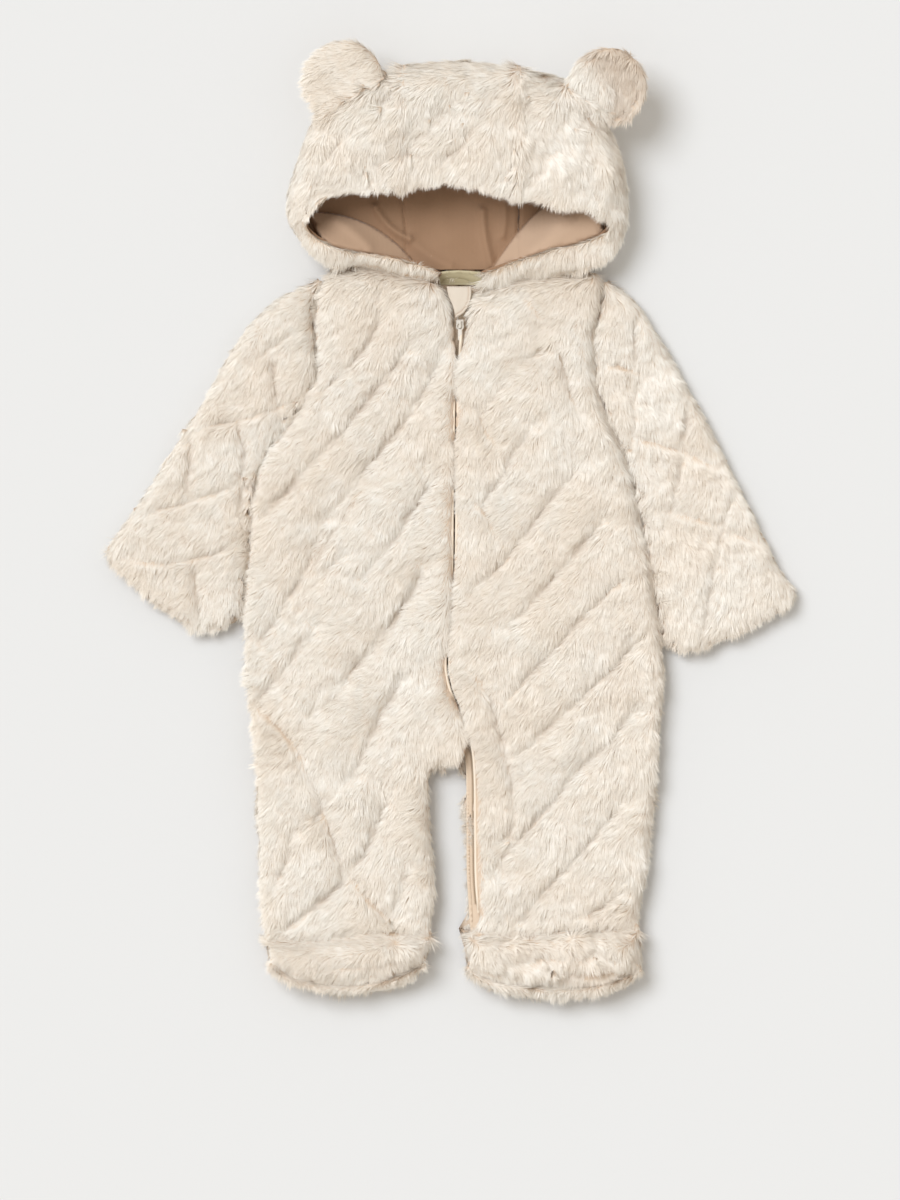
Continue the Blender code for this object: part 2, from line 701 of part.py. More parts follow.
# ---------------------------------------------------------------- sleeves
def sleeve(name, outer, side, underarm, creases, fur):
    """A sleeve lying flat: one wall round a slit that is open at the cuff and the armhole."""
    along = smooth(side)
    low_end = min(range(len(along)), key=lambda i: (along[i] - Vector(underarm)).length)
    shared = along[1:low_end + 1]
    rim = smooth(outer)
    outline = join(rim, shared[::-1])

    def under(points, away):
        return 5.0 * (1 - rounded(away, 8.0))

    def top(points, away):
        return 8.5 + (SLEEVE_CROWN - 8.5) * rounded(away, 13.0)
    made = panel("sleeve_" + name, outline, top, under, fur, Quilting(creases), edge=13.0,
                 top_pitch=16.0, low_edge=8.0)
    fold_end = Vector(SLEEVE_FOLD_ENDS[name])
    fold_last = min(range(len(rim)), key=lambda i: (rim[i] - fold_end).length)
    fold = rim[2:fold_last]
    toward = 1 if name == "right" else -1       # from the fold towards the body
    inner_fold = []
    for i, p in enumerate(fold):
        run = fold[min(i + 1, len(fold) - 1)] - fold[max(i - 1, 0)]
        normal = Vector((-run.y, run.x)).normalized() * toward
        inner_fold.append(p + normal * WALL)
    run = fold[-1] - fold[-3]
    mouth = [p + run.normalized() * 14 + Vector((0, -4)) for p in rim[fold_last:]]
    beyond = [p + Vector((14 * toward, 0)) for p in shared[::-1]]
    slit = join(inner_fold, mouth, beyond)
    cutter = strip_solid("slit", slit, SLEEVE_SLIT_LOW, SLEEVE_SLIT_LOW + SLEEVE_SLIT, fur)
    cut(made, cutter)


# ---------------------------------------------------------------- hood
ARC = 6                     # steps round each quarter of the hood's side
FLAT = 7                    # steps across the top
FLOOR = 3                   # steps along the floor
SHOULDER_REACH = 30.0       # how far in the rounded side reaches over the top
FLOOR_REACH = 18.0
FLOOR_FROM_SIDE = 8.0       # and how far beyond that the floor starts at the seam
FLAP_END = 20.5             # height at which the flaps under the chin meet the neck seam
FLAP_SLOPE = 0.75           # how much lower their inner skins end, for each mm inwards
FLAP_TURN = 75.0            # degrees through which they curl down to it
BULGE = 5.0


def hood_section(rim, outside, height, floor_end, inset, flap, start=0.0, short=0.0):
    """Points of one section, from the rim over the top and down to the floor.

    inset moves the section inwards by a wall's thickness; flap, from 0 to 1, lifts the far end
    where the panel ends at the neck seam instead of going under. start and short hold the
    section back from the rim and from the neck seam.
    """
    across = outside - rim
    span = across.length
    way = across / span
    shoulder = min(SHOULDER_REACH, span)
    top = height - inset
    turned = math.cos(math.radians(FLAP_TURN))
    flap_middle = (FLAP_END - FLAP_SLOPE * inset - top * turned) / (1 - turned)
    middle = HOOD_MIDDLE + (flap_middle - HOOD_MIDDLE) * flap
    points = []
    level = span - shoulder
    for k in range(FLAT):
        share = k / FLAT
        d = start + (level - start) * share if level > start else level * share
        lift = BULGE * math.sin(math.pi * min(1.0, d / max(span, 1.0))) * min(1.0, span / 60)
        at = rim + way * d
        points.append(Vector((at.x, at.y, top + lift)))
    lift = BULGE * math.sin(math.pi * min(1.0, level / max(span, 1.0))) * min(1.0, span / 60)
    last_angle = 90.0 - (90.0 - FLAP_TURN) * flap
    out_radius = shoulder - inset * (1 - flap) - short * flap
    drop = top + lift - middle
    for k in range(ARC + 1):
        angle = math.radians(last_angle * k / ARC)
        reach = math.sin(angle) / (math.sin(math.radians(last_angle)) if flap else 1.0)
        at = rim + way * (level + out_radius * reach)
        points.append(Vector((at.x, at.y, middle + drop * math.cos(angle))))
    if floor_end is None:
        return points
    inner_reach = max(FLOOR_REACH - inset * 0.6, 4.0)
    under = (floor_end - outside).normalized()
    low = middle - inset
    for k in range(1, ARC):
        angle = math.radians(90.0 * k / (ARC - 1))
        inward = (-way).lerp(under, k / (ARC - 1)).normalized()
        at = outside + inward * (inset + inner_reach * (1 - math.cos(angle)))
        points.append(Vector((at.x, at.y, inset + low * (1 - math.sin(angle)))))
    foot_of_wall = outside + under * (inset + inner_reach)
    for k in range(1, FLOOR + 1):
        at = foot_of_wall.lerp(floor_end, k / FLOOR)
        points.append(Vector((at.x, at.y, inset)))
    return points


WHOLE = FLAT + ARC + 1 + (ARC - 1) + FLOOR      # points in a section that goes under
TOPS = FLAT + ARC + 1                           # points in one that ends at the neck


def wall_between(name, outer, inner, finish):
    """A wall between two skins given as rows of points; short rows end at the neck."""
    mesh = bmesh.new()
    skins = [[[mesh.verts.new(p) for p in row] for row in skin] for skin in (outer, inner)]
    cells = []
    for i in range(len(outer) - 1):
        for j in range(min(len(outer[i]), len(outer[i + 1])) - 1):
            cells.append(((i, j), (i + 1, j), (i + 1, j + 1), (i, j + 1)))
    used = {}
    for cell in cells:
        for a, b in zip(cell, cell[1:] + cell[:1]):
            used[frozenset((a, b))] = used.get(frozenset((a, b)), 0) + 1
    for cell in cells:
        mesh.faces.new([skins[0][i][j] for i, j in cell])
        mesh.faces.new([skins[1][i][j] for i, j in reversed(cell)])
        for a, b in zip(cell, cell[1:] + cell[:1]):
            if used[frozenset((a, b))] == 1:
                mesh.faces.new((skins[0][b[0]][b[1]], skins[0][a[0]][a[1]],
                                skins[1][a[0]][a[1]], skins[1][b[0]][b[1]]))
    for vert in [v for v in mesh.verts if not v.link_faces]:
        mesh.verts.remove(vert)
    return piece(name, mesh, finish)


def side_stations(rows, seam, count_per_row=2):
    """Stations round a side panel: rim, outside, height, share of flap and end on the floor."""
    knots = [(rx, ry, h, ox, oy) for rx, ry, h, ox, oy in rows]
    out = []
    last = len(knots) - 1
    steps = last * count_per_row
    for s in range(steps + 1):
        at = s / count_per_row
        i = min(int(at), last - 1)
        u = at - i
        ends = [np.array(knots[min(max(k, 0), last)], dtype=float) for k in range(i - 1, i + 3)]
        rx, ry, h, ox, oy = catmull(*ends, u)
        flap = min(1.0, max(0.0, (at - HOOD_NECK_ROW) / FLAP_ROWS))
        goes_under = at <= HOOD_NECK_ROW
        share = at / HOOD_NECK_ROW
        start_y = rows[0][4] - FLOOR_REACH - FLOOR_FROM_SIDE
        floor_y = start_y + (NECK_FLOOR_Y - start_y) * share
        floor_end = Vector((seam, floor_y)) if goes_under else None
        out.append((Vector((rx, ry)), Vector((ox, oy)), h, flap, floor_end))
    return out


def hood_skin(stations, inset, start=0.0, short=0.0):
    return [hood_section(rim, outside, h, end, inset, flap, start, short)
            for rim, outside, h, flap, end in stations]


def quilted(rows, quilting):
    """Presses the quilting into the upper part of a skin of the hood."""
    flat_points = [p for row in rows for p in row]
    sunk = quilting.sunk(flat_points)
    k = 0
    for row in rows:
        for j, p in enumerate(row):
            if 0 < j < FLAT + ARC - 1:
                p.z -= sunk[k]
            k += 1
    return rows


def hood_side(name, rows, seam, fur, jersey):
    stations = side_stations(rows, seam)
    toward = -1 if name == "right" else 1
    gap = Vector((toward * SEAM_GAP / 2, 0, 0))
    outer = quilted(hood_skin(stations, 0.0), Quilting(HOOD_CREASES))
    inner = hood_skin(stations, WALL)
    for skin in (outer, inner):
        for row in skin:
            for p in row:
                p += gap
    wall_between("hood_side_" + name, outer, inner, fur)
    outer, inner = lining_skins(side_stations(rows, seam, 1))
    for skin in (outer, inner):
        for row in skin:
            for p in row:
                p += gap
    wall_between("lining_side_" + name, outer, inner, jersey)


def lining_skins(stations):
    """Both skins of a lining: every other point of the wall that it lies in, and the floor's end."""
    outer = hood_skin(stations, WALL + LINING_GAP, LINING_HEM, LINING_SHORT)
    inner = hood_skin(stations, WALL + LINING_GAP + LINING, LINING_HEM, LINING_SHORT)
    return [[row[::2] + (row[-1:] if len(row) == WHOLE else []) for row in skin]
            for skin in (outer, inner)]


def hood_centre(fur, jersey):
    def stations(steps):
        out = []
        last = len(HOOD_CENTRE_ROWS) - 1
        for s in range(steps + 1):
            at = last * s / steps
            i = min(int(at), last - 1)
            ends = [np.array(HOOD_CENTRE_ROWS[min(max(k, 0), last)], dtype=float)
                    for k in range(i - 1, i + 3)]
            _, rim_y, crown_y = catmull(*ends, at - i)
            x = HOOD_SEAM_RIGHT + (HOOD_SEAM_LEFT - HOOD_SEAM_RIGHT) * s / steps
            x = min(max(x, HOOD_SEAM_RIGHT + SEAM_GAP / 2), HOOD_SEAM_LEFT - SEAM_GAP / 2)
            out.append((Vector((x, rim_y)), Vector((x, crown_y)), HOOD_RIM, 0.0,
                        Vector((x, NECK_FLOOR_Y))))
        return out
    outer = quilted(hood_skin(stations(9), 0.0), Quilting(HOOD_CREASES))
    wall_between("hood_centre", outer, hood_skin(stations(9), WALL), fur)
    wall_between("lining_centre", *lining_skins(stations(5)), jersey)


def ear(name, rows, seam, fur):
    """A round padded ear that stands on the shoulder of the hood, trimmed to its curve."""
    x, y, bearing, lean = EARS[name]
    tip = Vector((math.cos(math.radians(bearing)), math.sin(math.radians(bearing))))
    centre = Vector((x, y))
    half_open = math.acos(EAR_BASE / EAR_RADIUS)
    turn = 2 * math.pi - 2 * half_open
    start = math.radians(bearing) + math.pi + half_open
    outline = []
    for k in range(EAR_SIDES + 1):
        angle = start + turn * k / EAR_SIDES
        outline.append(centre + EAR_RADIUS * Vector((math.cos(angle), math.sin(angle))))
    slope = math.tan(math.radians(lean))

    def middle(points):
        return np.array([EAR_HEIGHT + slope * (Vector(p[:2]) - centre).dot(tip) for p in points])

    def top(points, away):
        cupped = EAR_CUP * (1 - np.exp(-(away / 20.0) ** 2))
        return middle(points) + 3.0 + (EAR_THICK / 2 - 3.0) * rounded(away, 12.0) - cupped

    def low(points, away):
        return middle(points) - 3.0 - (EAR_THICK / 2 - 3.0) * rounded(away, 12.0)
    made = panel("ear_" + name, join(outline), top, low, fur, edge=12.0, top_pitch=11.0,
                 low_pitch=14.0, low_edge=6.0)
    near = side_stations(rows, seam)[:EAR_STATIONS]
    seat = wall_between("seat", hood_skin(near, -SEAM_GAP), hood_skin(near, EAR_SEAT), fur)
    cut(made, seat)


# ---------------------------------------------------------------- neck and zip
def neck_tape(khaki):
    """The satin tape over the back neck seam, from the back panel up to the lining's end."""
    front = [Vector(p) for p in NECK_TAPE_FRONT]
    rear = [Vector(p) for p in NECK_TAPE_REAR]
    start = front[0].y
    reach = rear[len(rear) // 2].y - start

    def low(points, away):
        rise = np.clip((np.array([p.y for p in points]) - start) / reach, 0, 1)
        return BACK_TOP + SEAM_GAP + NECK_TAPE_RISE * rise * rise * (3 - 2 * rise)
    panel("neck_tape", join(front, rear[::-1]), lambda p, a: low(p, a) + NECK_TAPE_THICK, low,
          khaki, edge=1.0, top_pitch=3.0, low_pitch=3.0)


def chin_guard(flap):
    """The soft flap that keeps the top of the zip off the chin; its tip points down the zip."""
    outline = join(smooth(CHIN_SEWN_EDGE, CHIN_STEP), smooth(CHIN_FREE_EDGE, CHIN_STEP))
    top_y = CHIN_SEWN_EDGE[0][1]
    long = top_y - CHIN_SEWN_EDGE[-1][1]

    def low(points, away):
        along = np.clip((top_y - np.array([p.y for p in points])) / long, 0, 1)
        return CHIN_HEIGHT + CHIN_BOW * np.sin(math.pi * along)

    def top(points, away):
        rim = 0.4 * CHIN_THICK
        return low(points, away) + rim + (CHIN_THICK - rim) * rounded(away, 2.0)
    panel("chin_guard", outline, top, low, flap, edge=2.0, top_pitch=5.0, low_pitch=6.0)


def box(name, centre, size, bevel, finish):
    """A block with rounded edges, in millimetres."""
    mesh = bmesh.new()
    bmesh.ops.create_cube(mesh, size=1.0)
    bmesh.ops.scale(mesh, vec=size, verts=mesh.verts)
    bmesh.ops.bevel(mesh, geom=mesh.edges[:], offset=bevel, segments=1, affect="EDGES")
    bmesh.ops.translate(mesh, vec=centre, verts=mesh.verts)
    return piece(name, mesh, finish)


def torus(name, centre, major, minor, finish, around=18, section=6):
    """A ring lying level, in millimetres."""
    mesh = bmesh.new()
    rings = []
    for i in range(around):
        a = 2 * math.pi * i / around
        rings.append([mesh.verts.new((
            centre[0] + (major + minor * math.cos(b)) * math.cos(a),
            centre[1] + (major + minor * math.cos(b)) * math.sin(a),
            centre[2] + minor * math.sin(b))) for b in
            (2 * math.pi * k / section for k in range(section))])
    for i in range(around):
        for k in range(section):
            mesh.faces.new((rings[i][k], rings[(i + 1) % around][k],
                            rings[(i + 1) % around][(k + 1) % section],
                            rings[i][(k + 1) % section]))
    return piece(name, mesh, finish)


def merge(target, other):
    """Joins another piece to the target as one body."""
    change = target.modifiers.new("merge", "BOOLEAN")
    change.object = other
    change.operation = "UNION"
    seen = target.evaluated_get(bpy.context.evaluated_depsgraph_get())
    data = bpy.data.meshes.new_from_object(seen)
    target.modifiers.remove(change)
    target.data = data
    bpy.data.objects.remove(other)


def zip_pieces(satin, metal):
    tape_low = BACK_TOP + SEAM_GAP
    strip_solid("zip_tape", zip_strip(TAPE_HALF, 1), tape_low, tape_low + TAPE_THICK, satin)
    chain_low = tape_low + TAPE_THICK + SEAM_GAP
    chain_top = chain_low + CHAIN_HIGH
    strip_solid("zip_chain", zip_strip(CHAIN_HALF, 2, -1), chain_low, chain_top, satin)
    x, y = SLIDER_AT
    body_low = chain_top + SLIDER_GAP
    body_top = body_low + SLIDER_HIGH
    slider = box("zip_slider", (x, y, body_low + SLIDER_HIGH / 2),
                 (SLIDER_WIDE, SLIDER_LONG, SLIDER_HIGH), 0.7, metal)
    sunk = 0.7                                  # how far the posts stand in the slider
    for end in (-1, 1):
        post = box("post", (x, y + end * (BRIDGE_LONG - BRIDGE_BAR) / 2,
                            body_top + (BRIDGE_HIGH - sunk) / 2 - 0.1),
                   (BRIDGE_WIDE, BRIDGE_BAR, BRIDGE_HIGH + sunk - 0.2), 0.15, metal)
        merge(slider, post)
    beam = box("beam", (x, y, body_top + BRIDGE_HIGH - BRIDGE_BAR / 2),
               (BRIDGE_WIDE * 0.98, BRIDGE_LONG, BRIDGE_BAR), 0.2, metal)
    merge(slider, beam)
    bar_y = y + PIN_FROM_SLIDER[0]
    bar_z = body_top + PIN_FROM_SLIDER[1]
    pull = torus("zip_pull", (x, bar_y - RING_MAJOR, bar_z), RING_MAJOR, RING_MINOR, metal)
    tab_top = bar_y - 2 * RING_MAJOR
    tab = box("tab", (x, tab_top - PULL_LONG / 2, bar_z), (PULL_WIDE, PULL_LONG, PULL_THICK), 0.3,
              metal)
    merge(pull, tab)


# ---------------------------------------------------------------- build
def main():
    fur = material("fur cloth", CREAM, 0.9)
    jersey = material("jersey lining", JERSEY, 0.85)
    body(fur)
    feet(fur)
    sleeve("right", SLEEVE_RIGHT, SIDE_RIGHT, UNDERARM_RIGHT, SLEEVE_RIGHT_CREASES, fur)
    sleeve("left", SLEEVE_LEFT, SIDE_LEFT, UNDERARM_LEFT, SLEEVE_LEFT_CREASES, fur)
    hood_side("right", HOOD_RIGHT_ROWS, HOOD_SEAM_RIGHT, fur, jersey)
    hood_side("left", HOOD_LEFT_ROWS, HOOD_SEAM_LEFT, fur, jersey)
    hood_centre(fur, jersey)
    ear("right", HOOD_RIGHT_ROWS, HOOD_SEAM_RIGHT, fur)
    ear("left", HOOD_LEFT_ROWS, HOOD_SEAM_LEFT, fur)
    neck_tape(material("khaki satin", KHAKI, 0.45))
    chin_guard(material("flap jersey", FLAP, 0.8))
    zip_pieces(material("zip tape", SATIN, 0.55), material("painted metal", METAL, 0.35, 0.6))


for old in list(bpy.data.objects):
    bpy.data.objects.remove(old)
SUIT = bpy.data.collections.new("sleepsuit")
bpy.context.scene.collection.children.link(SUIT)
ZIP = zip_stations()
main()
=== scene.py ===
# %% [markdown]
# # A hooded baby sleepsuit in quilted fur cloth
# The real thing is a baby's all-in-one: fur cloth with a 10 mm pile, wadding and a jersey lining,
# stitched through in slanting lines, with a hood, two round ears, booties and a zip that swings
# onto one leg. It lies flat on its back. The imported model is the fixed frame: it gives every
# panel its place and form. This script gives each panel its cloth, its pile and its finish.

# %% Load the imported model
import json
import math

import bmesh
import bpy
import numpy as np
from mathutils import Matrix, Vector, noise
from mathutils.bvhtree import BVHTree

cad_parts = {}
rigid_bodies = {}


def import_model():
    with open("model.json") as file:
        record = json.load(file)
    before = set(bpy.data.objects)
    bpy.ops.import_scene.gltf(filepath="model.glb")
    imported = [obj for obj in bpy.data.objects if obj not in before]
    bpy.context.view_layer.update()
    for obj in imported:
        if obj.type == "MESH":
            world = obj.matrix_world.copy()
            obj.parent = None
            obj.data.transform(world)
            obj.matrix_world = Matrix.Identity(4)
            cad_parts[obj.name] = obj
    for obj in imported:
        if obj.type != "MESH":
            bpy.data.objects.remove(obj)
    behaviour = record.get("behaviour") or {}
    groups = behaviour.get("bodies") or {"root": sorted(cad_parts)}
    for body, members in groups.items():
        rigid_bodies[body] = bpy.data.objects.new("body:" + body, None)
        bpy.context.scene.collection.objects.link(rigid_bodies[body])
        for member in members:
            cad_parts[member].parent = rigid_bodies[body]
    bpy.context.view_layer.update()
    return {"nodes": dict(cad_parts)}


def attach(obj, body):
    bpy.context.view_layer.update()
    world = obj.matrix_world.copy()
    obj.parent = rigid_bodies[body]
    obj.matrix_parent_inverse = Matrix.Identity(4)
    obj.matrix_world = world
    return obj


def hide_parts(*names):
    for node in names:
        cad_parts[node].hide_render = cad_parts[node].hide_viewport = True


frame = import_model()
MM = 0.001

# %% [markdown]
# ## Camera, floor and light
# The photograph looks straight down. A long lens far away keeps the raised hood from leaning out
# of the picture. One pixel of the 900 by 1200 picture is 0.8 mm on the suit, so the picture is
# 960 mm high. The light is a large soft one at the upper left, with a bright room round it.

# %% Camera
scene = bpy.context.scene
PICTURE_HIGH = 960 * MM
PICTURE_CENTRE = Vector((-2 * MM, -65.6 * MM))
CAMERA_AWAY = 8.0
SUIT_MIDDLE = 20 * MM  # height at which the picture has its true scale


def put(name, data):
    """A new object at the origin."""
    made = bpy.data.objects.new(name, data)
    scene.collection.objects.link(made)
    return made


camera = put("camera", bpy.data.cameras.new("camera"))
camera.location = (PICTURE_CENTRE.x, PICTURE_CENTRE.y, CAMERA_AWAY + SUIT_MIDDLE)
camera.data.sensor_width = 36.0
camera.data.lens = camera.data.sensor_width * CAMERA_AWAY / PICTURE_HIGH
camera.data.clip_end = 50.0
scene.camera = camera
scene.view_settings.view_transform = "Standard"
print("lens", round(camera.data.lens), "mm")

# %% Light
KEY_FROM = Vector((-0.88, 0.74, 1.75)).normalized()
KEY_SOFT = 32.0  # degrees across, as of a large softbox
ROOM_SHARE = 0.56  # of the light on the floor, the share that the room gives
BRIGHT = 1.14  # light on the floor, for fur that shades its own roots
ROOM_COLOUR = (1.0, 0.955, 0.885, 1.0)
KEY_COLOUR = (1.0, 1.043, 1.112)  # cooler than the room, so that only the shadows look warm

key = put("key", bpy.data.lights.new("key", "SUN"))
key.data.energy = BRIGHT * (1 - ROOM_SHARE) * math.pi / KEY_FROM.z
key.data.angle = math.radians(KEY_SOFT)
key.data.color = KEY_COLOUR
key.rotation_mode = "QUATERNION"
key.rotation_quaternion = KEY_FROM.to_track_quat("Z", "Y")
world = bpy.data.worlds.new("room")
world.use_nodes = True
room = world.node_tree.nodes["Background"].inputs
room["Color"].default_value = ROOM_COLOUR
room["Strength"].default_value = BRIGHT * ROOM_SHARE
scene.world = world

# %% [markdown]
# ## Node sums as plain arithmetic
# A material is a small calculation for each point of a surface, and Geometry Nodes one for each
# point of a shape. Wiring them node by node hides the sums, so one small class stands for a
# socket and adds the node that an operator needs.

# %% Sockets with arithmetic
WAVE_LONG = 0.31  # metres from wave to wave of a wave texture at a scale of 1


class Wire:
    """An output socket of a tree of nodes that can be added and multiplied."""

    def __init__(self, board, socket):
        self.board, self.socket = board, socket

    def _sum(self, operation, first, second):
        return self.board.node("ShaderNodeMath", {"operation": operation}, {0: first, 1: second})

    def __add__(self, other):
        return self._sum("ADD", self, other)

    def __rsub__(self, other):
        return self._sum("SUBTRACT", other, self)

    def __mul__(self, other):
        return self._sum("MULTIPLY", self, other)

    def __rtruediv__(self, other):
        return self._sum("DIVIDE", other, self)


class Board:
    """A tree of nodes, of a material or of a shape."""

    def __init__(self, tree):
        self.tree = tree

    def node(self, kind, settings, sockets, output=0):
        """One node: its settings first, then the values or links of its sockets."""
        made = self.tree.nodes.new(kind)
        for name, value in settings.items():
            setattr(made, name, value)
        for name, value in sockets.items():
            if isinstance(value, Wire):
                self.tree.links.new(value.socket, made.inputs[name])
            else:
                made.inputs[name].default_value = value
        return Wire(self, made.outputs[output])

    def steep(self, value, low, high):
        """A value spread from low..high to 0..1 and held there."""
        return self.node("ShaderNodeMapRange", {"clamp": True}, {0: value, 1: low, 2: high})


class Finish(Board):
    """A material: its fixed values, and what changes over the surface."""

    def __init__(self, name, **fixed):
        self.material = bpy.data.materials.new(name)
        self.material.use_nodes = True
        super().__init__(self.material.node_tree)
        self.shader = self.tree.nodes["Principled BSDF"]
        for socket, value in fixed.items():
            self.shader.inputs[socket.replace("_", " ")].default_value = value

    def place(self):
        """Where a point is on the suit, in metres."""
        return self.node("ShaderNodeTexCoord", {}, {}, "Object")

    def attribute(self, name):
        """A number that was kept for each point of the mesh."""
        return self.node("ShaderNodeAttribute", {"attribute_name": name}, {}, "Fac")

    def noise(self, size, detail=2.0, stretch=(1, 1, 1)):
        """Soft noise from 0 to 1 whose blotches are about size metres across."""
        where = self.node("ShaderNodeMapping", {}, {"Vector": self.place(), "Scale": stretch})
        return self.node("ShaderNodeTexNoise", {}, {
            "Vector": where, "Scale": 1.0 / size, "Detail": detail})

    def ribs(self, pitch, **more):
        """Even ribs from 0 to 1 that lie side by side along X."""
        return self.node("ShaderNodeTexWave", {"bands_direction": "X", "wave_profile": "SIN"}, {
            "Vector": self.place(), "Scale": WAVE_LONG / pitch, **more}, "Fac")

    def mix(self, share, first, second):
        """A colour between two, by a share from 0 to 1."""
        return self.node("ShaderNodeMix", {"data_type": "RGBA"},
                         {0: share, 6: first, 7: second}, 2)

    def feed(self, socket, wire):
        self.tree.links.new(wire.socket, self.shader.inputs[socket])

    def colour(self, share, first, second):
        """The surface's colour, between two."""
        self.feed("Base Color", self.mix(share, first, second))

    def bump(self, height, depth, strength=1.0):
        """height is from 0 to 1, and depth what that is in metres."""
        self.feed("Normal", self.node("ShaderNodeBump", {}, {
            "Height": height, "Distance": depth, "Strength": strength}))


def paint(red, green, blue):
    """A colour as a screen shows it, from 0 to 255, as the linear one that a shader takes."""
    return tuple((c / 255) ** 2.2 for c in (red, green, blue)) + (1.0,)


# %% Floor
FLOOR_HALF = 3.0
FLOOR_BELOW = 0.2 * MM


def mesh_of(work, name):
    """The mesh that was built up in a bmesh."""
    mesh = bpy.data.meshes.new(name)
    work.to_mesh(mesh)
    work.free()
    return mesh


floor_finish = Finish("pale floor", Base_Color=paint(224, 224, 223), Roughness=0.95)
floor_work = bmesh.new()
bmesh.ops.create_grid(floor_work, x_segments=1, y_segments=1, size=FLOOR_HALF)
floor = put("floor", mesh_of(floor_work, "floor"))
floor.location.z = -FLOOR_BELOW
floor.data.materials.append(floor_finish.material)

# %% [markdown]
# ## Quilting
# The fur cloth is stitched through to its wadding in slanting lines, most of them rising to the
# right. Where a line runs, the cloth is drawn down and the pile parts over it. The lines stand
# here in the suit's own millimetres, a row each: start, middle and end.

# %% Stitched lines
QUILTING = {
    "front_right": [
        (-58, 183, -67, 141, -113, 98), (-36, 138, -82, 78, -152, 2),
        (-4, 138, -42, 74, -106, -6), (-106, -6, -114, -34, -152, -96),
        (-67, 27, -87, 2, -114, -41), (-14, 34, -41, -8, -72, -46),
        (-84, -26, -115, -55, -125, -78), (-20, -38, -41, -73, -82, -126),
        (-107, -86, -135, -120, -152, -146), (-104, -144, -110, -155, -116, -166),
        (-40, -126, -58, -163, -78, -202), (-150, -154, -118, -194, -86, -286),
        (-81, -283, -66, -302, -52, -318), (-93, -214, -101, -228, -109, -243),
        (-52, -218, -80, -280, -134, -326), (-32, -278, -40, -295, -46, -314),
        (-126, -250, -132, -270, -140, -290),
    ],
    "front_left": [
        (46, 114, 37, 102, 28, 88), (64, 76, 45, 45, 27, 14), (99, 42, 70, 2, 28, -48),
        (123, 2, 83, -46, 45, -86), (130, -50, 81, -104, 44, -142),
        (148, -98, 107, -139, 54, -188), (146, -154, 84, -221, 40, -275),
        (138, -226, 94, -275, 56, -320), (138, -296, 122, -309, 104, -316),
        (20, 92, 28, 75, 37, 62), (21, 14, 33, -2, 37, -15), (20, -119, 49, -214, 34, -262),
        (56, 127, 68, 133, 83, 139), (87, 140, 92, 115, 100, 90), (63, 178, 67, 171, 74, 158),
    ],
    "sleeve_right": [
        (-158, 126, -142, 141, -120, 152), (-204, 73, -154, 86, -120, 100),
        (-246, 5, -202, 18, -168, 30), (-252, -32, -206, -31, -174, -18),
        (-144, 134, -141, 106, -138, 84), (-172, 88, -167, 48, -168, 6),
        (-208, 70, -210, 45, -212, 18), (-204, -30, -204, -54, -202, -78),
    ],
    "sleeve_left": [
        (146, 160, 146, 141, 146, 122), (146, 110, 144, 90, 146, 66),
        (188, 92, 182, 45, 174, 0), (224, 20, 212, -22, 202, -86),
        (124, 126, 138, 122, 156, 116), (148, 66, 182, 56, 212, 44),
        (168, 10, 214, -4, 246, -18),
    ],
    "hood": [
        (-40, 350, -48, 342, -58, 328), (22, 356, -14, 316, -44, 290),
        (42, 344, 14, 310, -10, 280), (72, 342, 60, 328, 50, 316),
        (46, 290, 48, 276, 47, 266), (100, 316, 108, 290, 108, 266),
        (-86, 308, -102, 286, -108, 262), (86, 300, 70, 284, 60, 266),
        (-20, 296, -56, 286, -76, 270),
    ],
    "foot_right": [(-130, -352, -84, -358, -36, -350)],
    "foot_left": [(57, -355, 82, -350, 112, -355), (60, -372, 70, -369, 80, -366)],
    "ear_left": [(100, 324, 110, 319, 121, 312)],
    "hood_side_left": [(100, 324, 110, 319, 121, 312)],
}


STITCH_END = 10 * MM  # how far from its ends a line of stitches holds less


def line_points(row):
    """Points of a bent line through its start, middle and end, in metres."""
    a, m, b = (np.array(row[k:k + 2], dtype=float) * MM for k in (0, 2, 4))
    bend = 2 * m - (a + b) / 2
    u = np.linspace(0, 1, 14)[:, None]
    return (1 - u) ** 2 * a + 2 * u * (1 - u) * bend + u * u * b


def to_line(points, line):
    """Each point's distance to a chain seen from above, the way off it, and which side it is on."""
    a, b = line[:-1], line[1:]
    along = b - a
    from_a = points[:, None, :2] - a[None]
    share = np.clip((from_a * along).sum(2) / (along * along).sum(1), 0, 1)
    apart = from_a - share[..., None] * along
    length = np.linalg.norm(apart, axis=2)
    nearest = length.argmin(1)
    rows = np.arange(len(points))
    distance = length[rows, nearest]
    way = apart[rows, nearest] / np.maximum(distance, 1e-6)[:, None]
    ahead = along[nearest]
    right_hand = np.sign(ahead[:, 1] * way[:, 0] - ahead[:, 0] * way[:, 1])
    return distance, way, right_hand


def past_line(points, line):
    """Distance to a line: more than 0 to its right, and less than 0 to its left."""
    away, _, right_hand = to_line(points, line)
    return np.where(right_hand > 0, away, -away)


def ramp(values, low, high):
    """0 at low and 1 at high, with soft ends."""
    u = np.clip((values - low) / (high - low), 0, 1)
    return u * u * (3 - 2 * u)


def bell(away, width):
    """1 at a line, and next to nothing two widths away from it."""
    return np.exp(-(away / width) ** 2)


def held(points, line):
    """How firmly a line of stitches holds the cloth at each point: less towards its ends."""
    to_end = np.minimum(*(np.linalg.norm(points[:, :2] - end, axis=1) for end in line[[0, -1]]))
    return ramp(to_end, 0, STITCH_END)


def swirl(points, size, seed):
    """Soft noise from about -1 to 1 at each point; the plain noise reaches 0.6 or so."""
    shift = Vector((seed * 7.3, seed * 3.1, seed * 5.7))
    return np.array([noise.noise(Vector(p) / size + shift) for p in points]) * 1.6


print(sum(len(rows) for rows in QUILTING.values()), "stitched lines")

